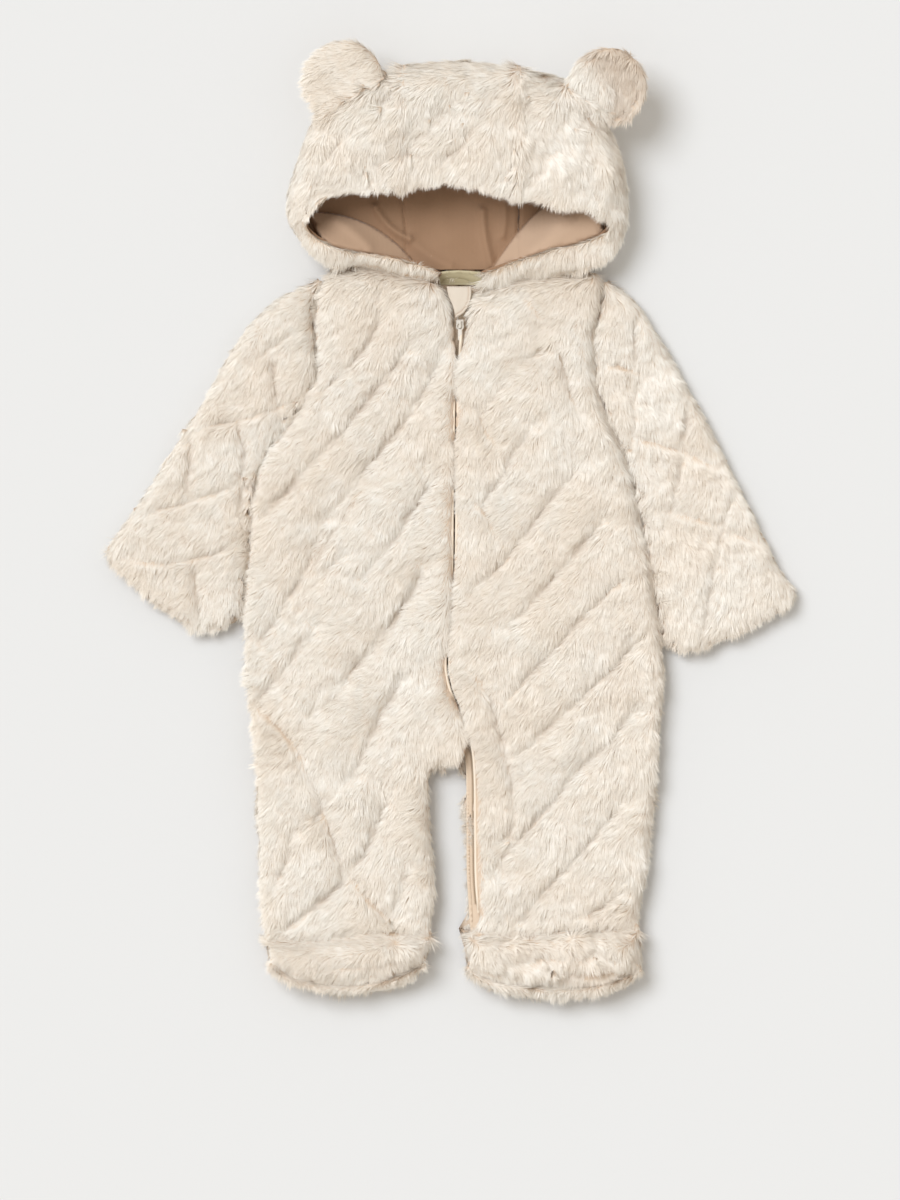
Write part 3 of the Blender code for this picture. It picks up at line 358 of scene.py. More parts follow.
# %% [markdown]
# ## The cloth that the pile grows on
# Each packed panel is a wall of pile, wadding and backing with faces about a centimetre across.
# A finer copy of it, rounded and sunk by the height of the pile, is the cloth itself. Only its
# outer face is sunk, because that is where the fur is.

# %% A finer copy of a panel
EDGE_LONG = 6.5 * MM  # the longest edge of a finer copy
EDGE_AT_LINES = 3.4 * MM  # and beside a stitched line
LINE_REACH = 5 * MM
LEVEL = 0.7  # normal.z of a face that is nearly level


def shows(node, normal):
    """Whether a face is seen: not an underside, nor the back's inside under the fronts."""
    return normal.z > -LEVEL and (node != "back" or normal.z < LEVEL)


def finer(node, edge, lines=(), edge_at_lines=EDGE_AT_LINES, rounds=6):
    """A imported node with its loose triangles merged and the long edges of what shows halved."""
    work = bmesh.new()
    work.from_mesh(frame["nodes"][node].data)
    bmesh.ops.remove_doubles(work, verts=work.verts, dist=1e-6)
    for _ in range(rounds):
        work.normal_update()
        edges = [e for e in work.edges if any(shows(node, f.normal) for f in e.link_faces)]
        most = np.full(len(edges), edge)
        if lines:
            middles = np.array([(e.verts[0].co + e.verts[1].co) / 2 for e in edges])
            away = np.min([to_line(middles, line)[0] for line in lines], axis=0)
            most[away < LINE_REACH] = edge_at_lines
        wide = [e for e, limit in zip(edges, most) if e.calc_length() > limit]
        if not wide:
            break
        bmesh.ops.subdivide_edges(work, edges=wide, cuts=1)
        bmesh.ops.triangulate(work, faces=[f for f in work.faces if len(f.verts) > 3])
    return mesh_of(work, node)


def table_of(data, name, size, kind=np.float32):
    """A mesh's own list, such as its points or normals, as an array."""
    out = np.empty(len(data) * size, dtype=kind)
    data.foreach_get(name, out)
    return out.reshape(-1, size).astype(float if kind == np.float32 else int)


def points_and_top(mesh):
    """A mesh's points, and which of them lie on its upper side."""
    top = table_of(mesh.vertex_normals, "vector", 3)[:, 2] > 0.2
    return table_of(mesh.vertices, "co", 3), top


def moved_to(mesh, points):
    """Gives a mesh its points, and returns the normals that it then has."""
    mesh.vertices.foreach_set("co", points.astype(np.float32).ravel())
    mesh.update()
    return table_of(mesh.vertex_normals, "vector", 3)


def neighbour_mean(values, edges):
    """For each point, the mean of its neighbours' values."""
    a = np.concatenate([edges[:, 0], edges[:, 1]])
    b = np.concatenate([edges[:, 1], edges[:, 0]])
    count = np.maximum(np.bincount(a, minlength=len(values)), 1)
    sums = [np.bincount(a, weights=values[b, k], minlength=len(values)) for k in range(3)]
    return np.stack(sums, axis=1) / count[:, None]


def rounded_off(mesh, rounds):
    """Smooths a mesh without shrinking it; what rests on the floor stays there."""
    points = table_of(mesh.vertices, "co", 3)
    edges = table_of(mesh.edges, "vertices", 2, np.int32)
    hold = ramp(points[:, 2], 0.05 * MM, 1.5 * MM)[:, None]
    for _ in range(rounds):
        for share in (0.5, -0.52):
            points = points + share * hold * (neighbour_mean(points, edges) - points)
    return points


def new_piece(name, mesh, node, finish):
    """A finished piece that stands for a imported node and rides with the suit."""
    mesh.name = name
    mesh.shade_smooth()
    mesh.materials.clear()
    mesh.materials.append(finish.material)
    piece = put(name, mesh)
    if node:
        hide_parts(node)
    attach(piece, "root")
    return piece


def one_side(mesh):
    """Area of one side of a wall, in square metres."""
    return sum(face.area for face in mesh.polygons) / 2


# %% The zip's line down the front
# x and y in mm, from the chin to the ankle
ZIP_ROWS = [
    (6.8, 178), (6.6, 168), (6.2, 158), (5.4, 149), (4.6, 140), (3.6, 122), (2.8, 90), (2.4, 50),
    (1.6, 5), (1.2, -40), (1.2, -66), (-1.0, -88), (-4.6, -110), (-3.4, -130), (3.0, -146),
    (11.0, -165), (14.6, -184), (16.4, -205), (16.6, -246), (17.0, -290), (20.0, -322),
]
# how far from the zip the pile starts, down the front: y, distance in mm, less than 0 where
# the fur of the two sides meets over it
ZIP_BARE = [
    (-322, -3.0), (-316, 5.0), (-214, 5.0), (-182, 4.0), (-174, -3.0), (-156, -3.0),
    (-148, 2.8), (-108, 2.8), (-100, -3.0), (-54, -3.0), (-46, 1.5), (26, 1.5), (32, -3.0),
    (58, -3.0), (66, 2.3), (98, 2.3),
    (106, -3.0), (130, -3.0), (136, 1.4), (148, 3.4), (200, 4.0),
]


def eased(rows, step=2.0, over=12.0):
    """Even points in metres along a line that is given as x for each y, with its corners eased."""
    rows = np.array(rows, dtype=float)[::-1]
    y = np.arange(rows[0, 1], rows[-1, 1], step)
    wide = int(over / step)
    reach = np.pad(np.interp(y, rows[:, 1], rows[:, 0]), wide, mode="edge")
    x = np.convolve(reach, np.ones(2 * wide + 1) / (2 * wide + 1), mode="valid")
    return np.stack([x, y], axis=1)[::-1] * MM


ZIP_LINE = eased(ZIP_ROWS)
print("the zip is", round(np.linalg.norm(np.diff(ZIP_LINE, axis=0), axis=1).sum() / MM), "mm long")

# %% Where panels are sewn to each other
SEAM_REACH = 4.5 * MM
UPPER = [node for node in frame["nodes"]
         if node.startswith(("front", "sleeve", "foot", "sole", "hood", "ear"))]
trees = {node: BVHTree.FromPolygons([v.co for v in frame["nodes"][node].data.vertices],
                                    [p.vertices for p in frame["nodes"][node].data.polygons])
         for node in UPPER}


def seam_nearness(node, points):
    """1 where a panel meets another one that lies beside it, and 0 a few mm from there."""
    if node not in UPPER:
        return np.zeros(len(points))
    others = [tree for name, tree in trees.items() if name != node]
    found = [[tree.find_nearest(Vector(p), SEAM_REACH)[3] for tree in others] for p in points]
    near = [min((d for d in row if d is not None), default=SEAM_REACH) for row in found]
    return 1 - ramp(np.array(near), 0.5 * MM, SEAM_REACH)


print(len(UPPER), "panels meet beside each other")


# %% Where the fur grows
HOOD_CORE = (np.array([-100, 225, 29]) * MM, np.array([105, 330, 29]) * MM)
# the edge of the face opening, seen from above: its upper and lower lips from seam to chin
HOOD_RIM = np.array([
    (-8, 196), (-20, 202), (-38, 208), (-56, 211), (-82, 216), (-96, 219), (-107, 225),
    (-115, 232), (-115, 238), (-108, 246), (-96, 254), (-80, 258), (-60, 259), (-40, 261),
    (-2, 265), (27, 261), (53, 254), (68, 250), (84, 247), (98, 246), (110, 245), (120, 240),
    (124, 233), (118, 228), (110, 225), (100, 221), (76, 216), (56, 209), (36, 202), (22, 197),
]) * MM
HOOD_MOUTH = np.vstack([HOOD_RIM, HOOD_RIM[:1]])  # the same line, closed
HEM_FUR = 7 * MM  # how far the fur turns in at the hood's rim
SLEEVE_SLIT_MIDDLE = 9.5 * MM  # height of the flattened inside of a sleeve
SLEEVE_SLIT_HALF = 1.7 * MM
RIM_LOWEST = 24 * MM  # the rim of the hood lies above this


def outward_share(points, normals):
    """How much a face of the hood looks away from the hollow, from -1 to 1."""
    out = points - np.clip(points, *HOOD_CORE)
    out /= np.maximum(np.linalg.norm(out, axis=1), 1e-6)[:, None]
    return (out * normals).sum(1)


def fur_share(node, points, normals):
    """1 where a panel shows its fur, 0 on its inside and where it rests."""
    share = ramp(normals[:, 2], -0.9, -0.6)
    if node == "back":
        covered = [any(tree.ray_cast(Vector(p), Vector((0, 0, 1)))[0] for tree in trees.values())
                   for p in points]
        share *= 1 - ramp(normals[:, 2], 0.3, 0.6) * np.array(covered)
    if node.startswith("hood"):
        outward = outward_share(points, normals)
        share = np.maximum(share, (outward > 0) * ramp(normals[:, 2], -0.98, -0.8))
        hem = 1 - ramp(to_line(points, HOOD_RIM)[0], 0.5 * HEM_FUR, HEM_FUR)
        hem *= points[:, 2] > RIM_LOWEST
        share *= np.maximum(ramp(outward, -0.2, 0.1), hem)
        share *= ramp(points[:, 2], 0.5 * MM, 3 * MM)
    if node.startswith("sleeve"):
        inner = np.abs(points[:, 2] - SLEEVE_SLIT_MIDDLE) < SLEEVE_SLIT_HALF
        share = np.where(inner & (np.abs(normals[:, 2]) > 0.6), 0.0, share)
    return share


# %% [markdown]
# ## The nap
# Pile has a lie. On the body it runs down and to the left, it swirls a little where hands have
# stroked it, it parts over the stitched lines, and it fans out over the edges of a panel. Each
# point of the cloth keeps that direction as a vector, and the length of its pile as a number.

# %% Comb directions
# node: bearing of the nap in degrees from +X, swirl in degrees, lean over the edges, pile in mm,
# how firmly the stitches draw the cloth in, and how much the pile fills the troughs beside them
NAP = {
    "back": (262, 16, 1.6, 8.0, 0.0, 0.0),
    "front_right": (236, 24, 0.7, 11.0, 1.0, 0.2),
    "front_left": (246, 26, 0.9, 11.0, 0.9, 0.5),
    "sleeve_right": (238, 22, 0.6, 10.0, 0.9, 0.8),
    "sleeve_left": (272, 22, 0.6, 10.0, 0.9, 0.8),
    "foot_right": (255, 34, 0.8, 10.0, 0.6, 0.8),
    "foot_left": (255, 34, 0.8, 10.0, 0.8, 0.0),
    "sole_right": (265, 25, 0.8, 9.0, 0.0, 0.0),
    "sole_left": (265, 25, 0.8, 9.0, 0.0, 0.0),
    "hood_side_right": (243, 30, 0.9, 12.0, 0.8, 0.4),
    "hood_centre": (250, 30, 0.9, 12.0, 0.8, 0.4),
    "hood_side_left": (262, 32, 0.9, 12.0, 0.8, 0.4),
    "ear_right": (205, 22, 0.8, 10.0, 0.0, 0.0),
    "ear_left": (258, 28, 0.8, 10.0, 1.0, 0.0),
}
PILE_HIGH = 3.8 * MM  # how far the combed pile stands over its cloth
# the strokes in the nap and the tufts within them: width, and how strongly they swirl
SWIRL_WIDE, SWIRL_TURN = 40 * MM, 1.3
LOCK_WIDE, LOCK_TURN = 11 * MM, 0.7
UNEVEN_WIDE, UNEVEN = 14 * MM, 0.2  # how the pile's length varies
EDGE_SHORT, EDGE_LYING = 0.26, 0.24  # shorter at a panel's edge, and more where it leans outward
SEAM_LEAN, SEAM_LONG = 0.2, 0.25  # how much more the pile leans out at a seam, and is longer
# beside a stitched line: reach, how much the pile leans away, and how much shorter it is
PARTING, PART_LEAN, PART_SHORT = 5 * MM, 0.12, 0.2
# at the hood's rim: how far from it the pile is clipped, by how much, and how far and how
# strongly it turns in over the lining
RIM_SHORT, RIM_CLIPPED = 9 * MM, 0.3
RIM_CURL, RIM_TURN = 6.5 * MM, 1.6
FOOT_TOP = (-346 * MM, -336 * MM)  # between these the pile of a bootie stands up to the leg
FOOT_UP = 0.5
# pile that is brushed over the gap beside the chin guard: x, y and reach in mm, its bearing, how
# strongly it is turned and how much longer it is
NECK_TUFT = (25, 187, 11, 190, 2, 0.7)


def combed(node, points, normals, lines, seam):
    """The nap at each point, and how long its pile is."""
    bearing, turn, lean, pile = NAP[node][:4]
    angle = np.radians(bearing + SWIRL_TURN * turn * swirl(points, SWIRL_WIDE, 1)
                       + LOCK_TURN * turn * swirl(points, LOCK_WIDE, 2))
    nap = np.stack([np.cos(angle), np.sin(angle), np.zeros(len(points))], axis=1)
    flat = normals * (1, 1, 0)
    outward = (nap * flat).sum(1)
    nap += lean * (1 + SEAM_LEAN * seam)[:, None] * flat
    size = pile * MM * (1 + UNEVEN * swirl(points, UNEVEN_WIDE, 3))
    at_edge = ramp(np.linalg.norm(flat, axis=1), 0.4, 0.95)
    size *= 1 - (EDGE_SHORT + EDGE_LYING * outward) * at_edge
    size *= 1 + SEAM_LONG * seam
    for line in lines:
        away, out, _ = to_line(points, line)
        here = held(points, line)
        nap[:, :2] += PART_LEAN * (here * bell(away, PARTING))[:, None] * out
        size *= 1 - PART_SHORT * here * bell(away, 0.4 * PARTING)
    if node.startswith("hood"):
        away, out, right_hand = to_line(points, HOOD_MOUTH)
        size *= 1 - RIM_CLIPPED * bell(away, RIM_SHORT)
        turned_in = ramp(right_hand * away, -1.0 * MM, 1.5 * MM) * bell(away, RIM_CURL)
        nap[:, :2] += (RIM_TURN * right_hand * turned_in)[:, None] * out
    if node.startswith("foot"):
        nap[:, 1] += FOOT_UP * ramp(points[:, 1], *FOOT_TOP)
    if node in ("front_left", "hood_side_left"):
        x, y, reach, way, strong, longer = NECK_TUFT
        near = np.exp(-np.sum((points[:, :2] / MM - (x, y)) ** 2, axis=1) / reach ** 2)
        way = math.radians(way)
        nap[:, :2] += strong * near[:, None] * (math.cos(way), math.sin(way))
        size *= 1 + longer * near
    nap -= (nap * normals).sum(1)[:, None] * normals
    nap /= np.maximum(np.linalg.norm(nap, axis=1), 1e-6)[:, None]
    return nap, size


# %% [markdown]
# ## The colour of the fur
# The pile is a warm cream that is nearly white at the tips and tan at the roots, with paler and
# pinker patches a few centimetres across, laid out by a soft noise. In creases, seams and folds
# it is painted a shade darker, and it has a faint painted glow of its own colour.

# %% Fur finish
ROOT, TIP = paint(222, 203, 181), paint(247, 243, 235)
WARM, DEEP = paint(244, 235, 222), paint(235, 222, 205)
# painted shade: hair in creases, seams and folds is drawn towards this tan, partly the tan roots
# that show where the pile parts and partly the shade that falls there
CREASE_TAN_AND_SHADE = paint(206, 185, 162)

PAINTED_GLOW = 0.045  # painted glow: the fur gives off a little of its own colour, in place of the light that reaches a hair through its neighbours

fur_finish = Finish("cream fur", Roughness=0.9, Sheen_Weight=0.25, Sheen_Roughness=0.6,
                    Specular_IOR_Level=0.08, Emission_Strength=PAINTED_GLOW)
along = fur_finish.attribute("along")
lock = fur_finish.attribute("lock")
crease = fur_finish.attribute("crease")
patch = fur_finish.steep(fur_finish.noise(60 * MM, 3.0), 0.4, 0.66)
tips = fur_finish.mix(patch * 0.75, TIP, WARM)
tips = fur_finish.mix((1 - lock) * 0.5, tips, DEEP)
hair = fur_finish.mix(fur_finish.steep(along, 0.0, 0.4), ROOT, tips)
# painted shade: darker in creases, seams and folds, by the crease share stored on the cloth
hair = fur_finish.mix(crease * 0.55, hair, CREASE_TAN_AND_SHADE)
fur_finish.feed("Base Color", hair)
# the painted glow takes the hair's colour
fur_finish.feed("Emission Color", hair)

cloth_finish = Finish("fur backing", Roughness=0.95)
cloth_finish.colour(cloth_finish.noise(9 * MM, 3.0), paint(214, 190, 166), paint(228, 208, 186))
cloth_finish.bump(cloth_finish.noise(1.6 * MM), 0.5 * MM)

# %% Making a panel's cloth
LINE_SUNK = 2.6 * MM  # how far the stitches draw the cloth down
LINE_WIDE = 2.0 * MM
FIRM_WIDE = 24 * MM  # over this length a line of stitches is now firm, now slack
TROUGH_WIDE = 7.0 * MM  # how far from the stitches the pile fills the trough
LUMP, LUMP_WIDE = 1.0 * MM, 17 * MM  # unevenness of wadding that has been worn and washed
EAR_RIDGE = line_points((107, 362, 121, 339, 113, 312))  # one ear is folded along this
EAR_EAST, EAR_WEST = 0.8, 0.15  # how steeply it falls on either side
EAR_DEEP = 8 * MM
EAR_SHADE, EAR_SHADE_WIDE = 0.8, 9 * MM  # painted shade on the fold's steep side, which faces away from the light
# folds of a bootie: start, middle and end in mm, height in mm, half width in mm; a fold of negative
# height is a pocket that is also darkened with painted shade
FOOT_FOLDS = {
    "foot_left": [
        (30, -356, 56, -338, 100, -338, 3.6, 6), (100, -338, 128, -340, 134, -358, 3.6, 6),
        (88, -364, 106, -365, 124, -364, -5.0, 6), (36, -372, 60, -374, 84, -372, 1.6, 5),
    ],
    "foot_right": [(-134, -350, -84, -352, -40, -346, 1.5, 8)],
}
# at a seam: share of the pile that is left out, and how much wadding fills the trough
SEAM_USUAL = (0.65, 2.2 * MM)
SEAM_OF = {"hood": (1.0, 0.0), "foot": (0.65, 3.4 * MM), "sole": (0.65, 3.4 * MM)}
SEAM_HOLDS = np.array([0.9, 0.9, 0.7])  # how much less the cloth is sunk at a seam, in x, y and z
BACK_IN = 1.6  # the back is sunk this many times as far as the fur over it
ZIP_NEAR, ZIP_FLAT = 7 * MM, 0.6  # how near the zip the cloth sinks less, and by what share
# beside the zip: how far off the pile is at its full length, and how near and how strongly the
# fur of the two sides is brushed together where it meets
ZIP_PILE_FULL = 8 * MM
ZIP_MEET, ZIP_BRUSHED = 5 * MM, 0.9
cloths = {}


def stored_on(mesh, **tables):
    """Keeps a number or a vector for each point of a mesh."""
    for name, values in tables.items():
        kind, field = ("FLOAT", "value") if values.ndim == 1 else ("FLOAT_VECTOR", "vector")
        mesh.attributes.new(name, kind, "POINT").data.foreach_set(
            field, values.astype(np.float32).ravel())


def quilted(points, lines):
    """How far each point lies in the crease of a line of stitches, and in the trough along it."""
    crease = np.zeros(len(points))
    trough = np.zeros(len(points))
    for number, line in enumerate(lines):
        away = to_line(points, line)[0]
        firm = np.clip(0.6 + 0.7 * swirl(points, FIRM_WIDE, 20 + number), 0.15, 1.1)
        firm *= held(points, line)
        crease = np.maximum(crease, firm * bell(away, LINE_WIDE))
        trough = np.maximum(trough, bell(away, TROUGH_WIDE))
    return crease, trough


def folded(node, points, upper, down, crease):
    """How far the cloth is drawn down, and its creases, with the folds of an ear or a bootie; the
    crease share also carries painted shade on the ear's steep side and in a bootie's pocket.
    """
    if node == "ear_left":
        away, _, right_hand = to_line(points, EAR_RIDGE)
        steep = np.where(right_hand > 0, EAR_WEST, EAR_EAST)
        down = down + upper * EAR_DEEP * (1 - np.exp(-away * steep / EAR_DEEP))
        # painted shade: the ear's steep side, which faces away from the light, is darkened through
        # the crease share
        shaded = EAR_SHADE * (right_hand < 0) * ramp(away, 0, EAR_SHADE_WIDE)
        crease = np.maximum(crease, shaded)
    for *row, high, half_wide in FOOT_FOLDS.get(node, []):
        near = bell(to_line(points, line_points(row))[0], half_wide * MM)
        down = down - upper * high * MM * near
        # painted shade: a pocket, a fold below the cloth, is darkened through the crease share
        crease = np.maximum(crease, (high < 0) * near)
    return down, crease


def fur_cloth(node):
    """The cloth of one panel, with the nap and the pile's length stored at its points."""
    group = node.partition("_")[0]
    lines = [line_points(row) for row in QUILTING.get(group, []) + QUILTING.get(node, [])]
    mesh = finer(node, EDGE_LONG, lines)
    seam = seam_nearness(node, table_of(mesh.vertices, "co", 3))
    points = rounded_off(mesh, 1 if node == "back" else 5)
    normals = moved_to(mesh, points)
    upright = np.linalg.norm(normals[:, :2], axis=1)
    share = fur_share(node, points, normals)
    bare_seam, filled = SEAM_OF.get(group, SEAM_USUAL)
    share *= 1 - bare_seam * ramp(seam, 0.8, 0.97) * ramp(upright, 0.7, 0.95)
    upper = ramp(normals[:, 2], 0.1, 0.6) * share
    crease, trough = quilted(points, lines)
    firmly, fill = NAP[node][4:]
    down = upper * (LINE_SUNK * firmly * crease - fill * MM * trough
                    - LUMP * swirl(points, LUMP_WIDE, 4))
    down, crease = folded(node, points, upper, down, crease)
    inset = (BACK_IN if node == "back" else 1) * PILE_HIGH * share
    from_zip = to_line(points, ZIP_LINE)[0]
    if node.startswith("front"):
        inset *= 1 - ZIP_FLAT * bell(from_zip, ZIP_NEAR)
    inward = normals * (1 - seam[:, None] * SEAM_HOLDS)
    points = points - inward * (inset + down)[:, None]
    points[:, 2] += filled * seam * ramp(normals[:, 2], -0.3, 0.3)
    normals = moved_to(mesh, points)
    nap, size = combed(node, points, normals, lines, seam)
    if node.startswith("front"):
        bare = np.interp(points[:, 1] / MM, *np.array(ZIP_BARE).T) * MM
        share = share * ramp(from_zip - bare, -0.3 * MM, 0.6 * MM)
        size *= 0.5 + 0.5 * ramp(from_zip - bare, 0, ZIP_PILE_FULL)
        closed = (bare < 0) * bell(from_zip, ZIP_MEET)
        nap[:, :2] -= ZIP_BRUSHED * closed[:, None] * to_line(points, ZIP_LINE)[1]
    edges = table_of(mesh.edges, "vertices", 2, np.int32)
    up = normals
    for _ in range(2):
        up = up + neighbour_mean(up, edges)
    up /= np.linalg.norm(up, axis=1)[:, None]
    # the crease share darkens the fur: painted shade along the stitched creases and, at 0.2 of the
    # seam nearness, along the seams, with the tan roots that show where the pile parts
    stored_on(mesh, nap=nap, up=up, pile=size, furred=share,
              crease=np.maximum(firmly * crease, 0.2 * seam))
    return new_piece("cloth_" + node, mesh, node, cloth_finish)


for node in NAP:
    cloths[node] = fur_cloth(node)
    print(node, len(cloths[node].data.polygons), "triangles,",
          round(one_side(cloths[node].data), 4), "m2 a side")

# %% [markdown]
# ## Pile as locks of hair
# Real pile is millions of hairs that cling together in locks. Each hair here is one long
# triangle, three quarters of a millimetre wide at its root, and stands for a few real ones.
# Geometry Nodes scatter the hairs over the cloth, turn each one to the nap and give it the
# pile's length. A soft noise makes neighbours rise, turn and shade alike, which gathers them into
# locks. Their shading follows the cloth more than the triangle, so they look like one soft mass.

# %% Three hairs
# half width at the root, sideways place and height of the tip, all in shares of the length
HAIRS = [(0.036, 0.03, 0.15), (0.032, 0.10, 0.12), (0.038, -0.09, 0.18)]
hair_box = bpy.data.collections.new("hairs")
for half, tip, high in HAIRS:
    mesh = bpy.data.meshes.new("hair")
    mesh.from_pydata([(half, 0, 0), (tip, 1, high), (-half, 0, 0)], [], [(0, 1, 2)])
    mesh.attributes.new("along", "FLOAT", "POINT").data.foreach_set("value", [0, 1, 0])
    hair_box.objects.link(bpy.data.objects.new("hair", mesh))


# %% Trees that grow things
def shape_tree(name, **inputs):
    """A Geometry Nodes tree with a mesh in and out, a material, and the inputs that are named."""
    tree = bpy.data.node_groups.new(name, "GeometryNodeTree")
    tree.interface.new_socket("Mesh", in_out="INPUT", socket_type="NodeSocketGeometry")
    for label, kind in {**inputs, "Material": "Material"}.items():
        tree.interface.new_socket(label, in_out="INPUT", socket_type="NodeSocket" + kind)
    tree.interface.new_socket("Mesh", in_out="OUTPUT", socket_type="NodeSocketGeometry")
    board = Board(tree)
    given = tree.nodes.new("NodeGroupInput")
    return board, {s.name: Wire(board, s) for s in given.outputs if s.name}


def end_tree(board, shape, material):
    """Gives the shape its material and joins it to the tree's output."""
    shape = board.node("GeometryNodeSetMaterial", {}, {"Geometry": shape, "Material": material})
    out = board.tree.nodes.new("NodeGroupOutput")
    board.tree.links.new(shape.socket, out.inputs[0])
    return board.tree


def grown(name, host, tree, **inputs):
    """What a tree makes of a host's mesh, as a plain mesh."""
    modifier = host.modifiers.new("grown", "NODES")
    modifier.node_group = tree
    for item in tree.interface.items_tree:
        if item.in_out == "INPUT" and item.name in inputs:
            modifier[item.identifier] = inputs[item.name]
    seen = host.evaluated_get(bpy.context.evaluated_depsgraph_get())
    mesh = bpy.data.meshes.new_from_object(seen)
    mesh.name = name
    host.modifiers.remove(modifier)
    return mesh


# %% The tree of the pile
NORMAL_OWN = 0.12  # share of a hair's own normal in its shading
LOCK_SIZE = 5.5 * MM
FLOOR_TOUCH = 0.1 * MM  # hairs that reach the floor lie down on it


def pile_tree():
    """Hairs over a cloth, turned to its nap, with a normal that is mostly the cloth's."""
    board, given = shape_tree("pile", Hairs="Collection", Density="Float", Seed="Int",
                              Lock_Size="Float", Floor="Float")
    node = board.node

    def stored(name, kind="FLOAT"):
        return node("GeometryNodeInputNamedAttribute", {"data_type": kind}, {"Name": name})

    def random(low, high, seed):
        return node("FunctionNodeRandomValue", {}, {2: low, 3: high, 8: seed}, 1)

    def lock_noise(shift):
        where = node("ShaderNodeVectorMath", {"operation": "ADD"}, {
            0: node("GeometryNodeInputPosition", {}, {}), 1: (shift, shift, shift)})
        rough = node("ShaderNodeTexNoise", {}, {
            "Vector": where, "Scale": 1.0 / given["Lock_Size"], "Detail": 1.0})
        return board.steep(rough, 0.3, 0.7)

    scatter = node("GeometryNodeDistributePointsOnFaces", {}, {
        "Mesh": given["Mesh"], "Density": given["Density"] * stored("furred"),
        "Seed": given["Seed"]})
    kept = node("GeometryNodeStoreNamedAttribute", {}, {
        "Geometry": scatter, "Name": "lock",
        "Value": lock_noise(0.0) * 0.75 + random(0.0, 0.25, 11)})
    lock = stored("lock")
    facing = node("FunctionNodeAxesToRotation", {"primary_axis": "Z", "secondary_axis": "Y"}, {
        "Primary Axis": stored("up", "FLOAT_VECTOR"),
        "Secondary Axis": stored("nap", "FLOAT_VECTOR")})
    turned = node("ShaderNodeCombineXYZ", {}, {
        0: lock * 0.18 + random(-0.08, 0.02, 12),
        1: random(-0.2, 0.2, 13),
        2: lock_noise(3.0) * 0.7 + random(-0.44, -0.26, 14)})
    facing = node("FunctionNodeRotateRotation", {"rotation_space": "LOCAL"}, {
        0: facing, 1: node("FunctionNodeEulerToRotation", {}, {"Euler": turned})})
    size = stored("pile") * (lock * 0.4 + random(0.65, 0.95, 15))
    hairs = node("GeometryNodeCollectionInfo", {}, {
        "Collection": given["Hairs"], "Separate Children": True, "Reset Children": True})
    placed = node("GeometryNodeInstanceOnPoints", {}, {
        "Points": kept, "Instance": hairs, "Pick Instance": True, "Rotation": facing,
        "Scale": size,
        "Instance Index": node("FunctionNodeRandomValue", {"data_type": "INT"},
                               {4: 0, 5: len(HAIRS) - 1, 8: 16}, 2)})
    real = node("GeometryNodeRealizeInstances", {}, {"Geometry": placed})
    part = node("ShaderNodeSeparateXYZ", {}, {0: node("GeometryNodeInputPosition", {}, {})})
    x, y, z = (Wire(board, output) for output in part.socket.node.outputs)
    above = node("ShaderNodeMath", {"operation": "MAXIMUM"}, {0: z, 1: given["Floor"]})
    real = node("GeometryNodeSetPosition", {}, {
        "Geometry": real, "Position": node("ShaderNodeCombineXYZ", {}, {0: x, 1: y, 2: above})})
    soft = node("ShaderNodeMix", {"data_type": "VECTOR"}, {
        0: NORMAL_OWN, 4: stored("up", "FLOAT_VECTOR"),
        5: node("GeometryNodeInputNormal", {}, {})}, 1)
    shaded = node("GeometryNodeSetMeshNormal", {"mode": "FREE", "domain": "POINT"}, {
        "Mesh": real, "Custom Normal": soft})
    return end_tree(board, shaded, given["Material"])


# %% Growing the pile
HAIRS_PER_MM2 = {"back": 1.3, "front_right": 2.0, "front_left": 2.1}
HAIRS_USUAL = 2.1
furs = {}
pile = pile_tree()
total = 0
for number, (node, cloth) in enumerate(cloths.items()):
    density = HAIRS_PER_MM2.get(node, HAIRS_USUAL) * 1.0
    mesh = grown("fur_" + node, cloth, pile, Hairs=hair_box, Density=density / MM ** 2,
                 Seed=number, Lock_Size=LOCK_SIZE, Floor=FLOOR_TOUCH,
                 Material=fur_finish.material)
    furs[node] = put(mesh.name, mesh)
    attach(furs[node], "root")
    total += len(mesh.polygons) + len(cloth.data.polygons)
    print(mesh.name, len(mesh.polygons), "triangles")
print(total, "triangles of fur and cloth")
for hair in list(hair_box.objects):
    bpy.data.objects.remove(hair)

# %% [markdown]
# ## The lining
# Inside the hood is a tan jersey lining in three parts. It is sewn to the fur a centimetre
# inside the rim and hangs loose, so it folds where the hood is flattened. The two largest folds
# are the ones where the lining of each cheek comes up off the floor of the hood towards the rim.

# %% Jersey finish
lining_finish = Finish("tan jersey", Roughness=0.8, Sheen_Weight=0.3, Sheen_Roughness=0.4)
rows = lining_finish.ribs(1.0 * MM, Distortion=1.2, Detail=1.0)
jersey = lining_finish.mix(lining_finish.noise(30 * MM, 3.0) * 0.6 + rows * 0.25,
                           paint(155, 121, 93), paint(167, 133, 105))
# painted light: where the cheeks rise towards the rim the jersey is painted a paler, lit tan
lining_finish.colour(lining_finish.attribute("brushed"), jersey, paint(196, 166, 140))
lining_finish.bump(rows, 0.12 * MM, 0.5)

# %% Folds of the lining
# start, middle and end in mm, height in mm, half width in mm
LINING_RIDGES = [
    (-62, 249, -50, 233, -35, 224, 3.4, 3.2),
    (-44, 262, -38, 240, -37, 214, -1.4, 1.6),
    (24, 246, 26, 226, 31, 203, 3.2, 3.6),
    (-33, 222, -18, 210, -2, 202, 2.6, 5.0),
    (41, 258, 42, 240, 40, 226, 2.0, 3.0),
    (53, 256, 53, 240, 52, 226, -1.4, 1.6),
    (-12, 262, -8, 240, -4, 222, 1.5, 9.0),
    (-92, 238, -78, 228, -66, 216, 2.2, 5.0),
    (88, 240, 78, 226, 62, 214, 2.2, 6.0),
]
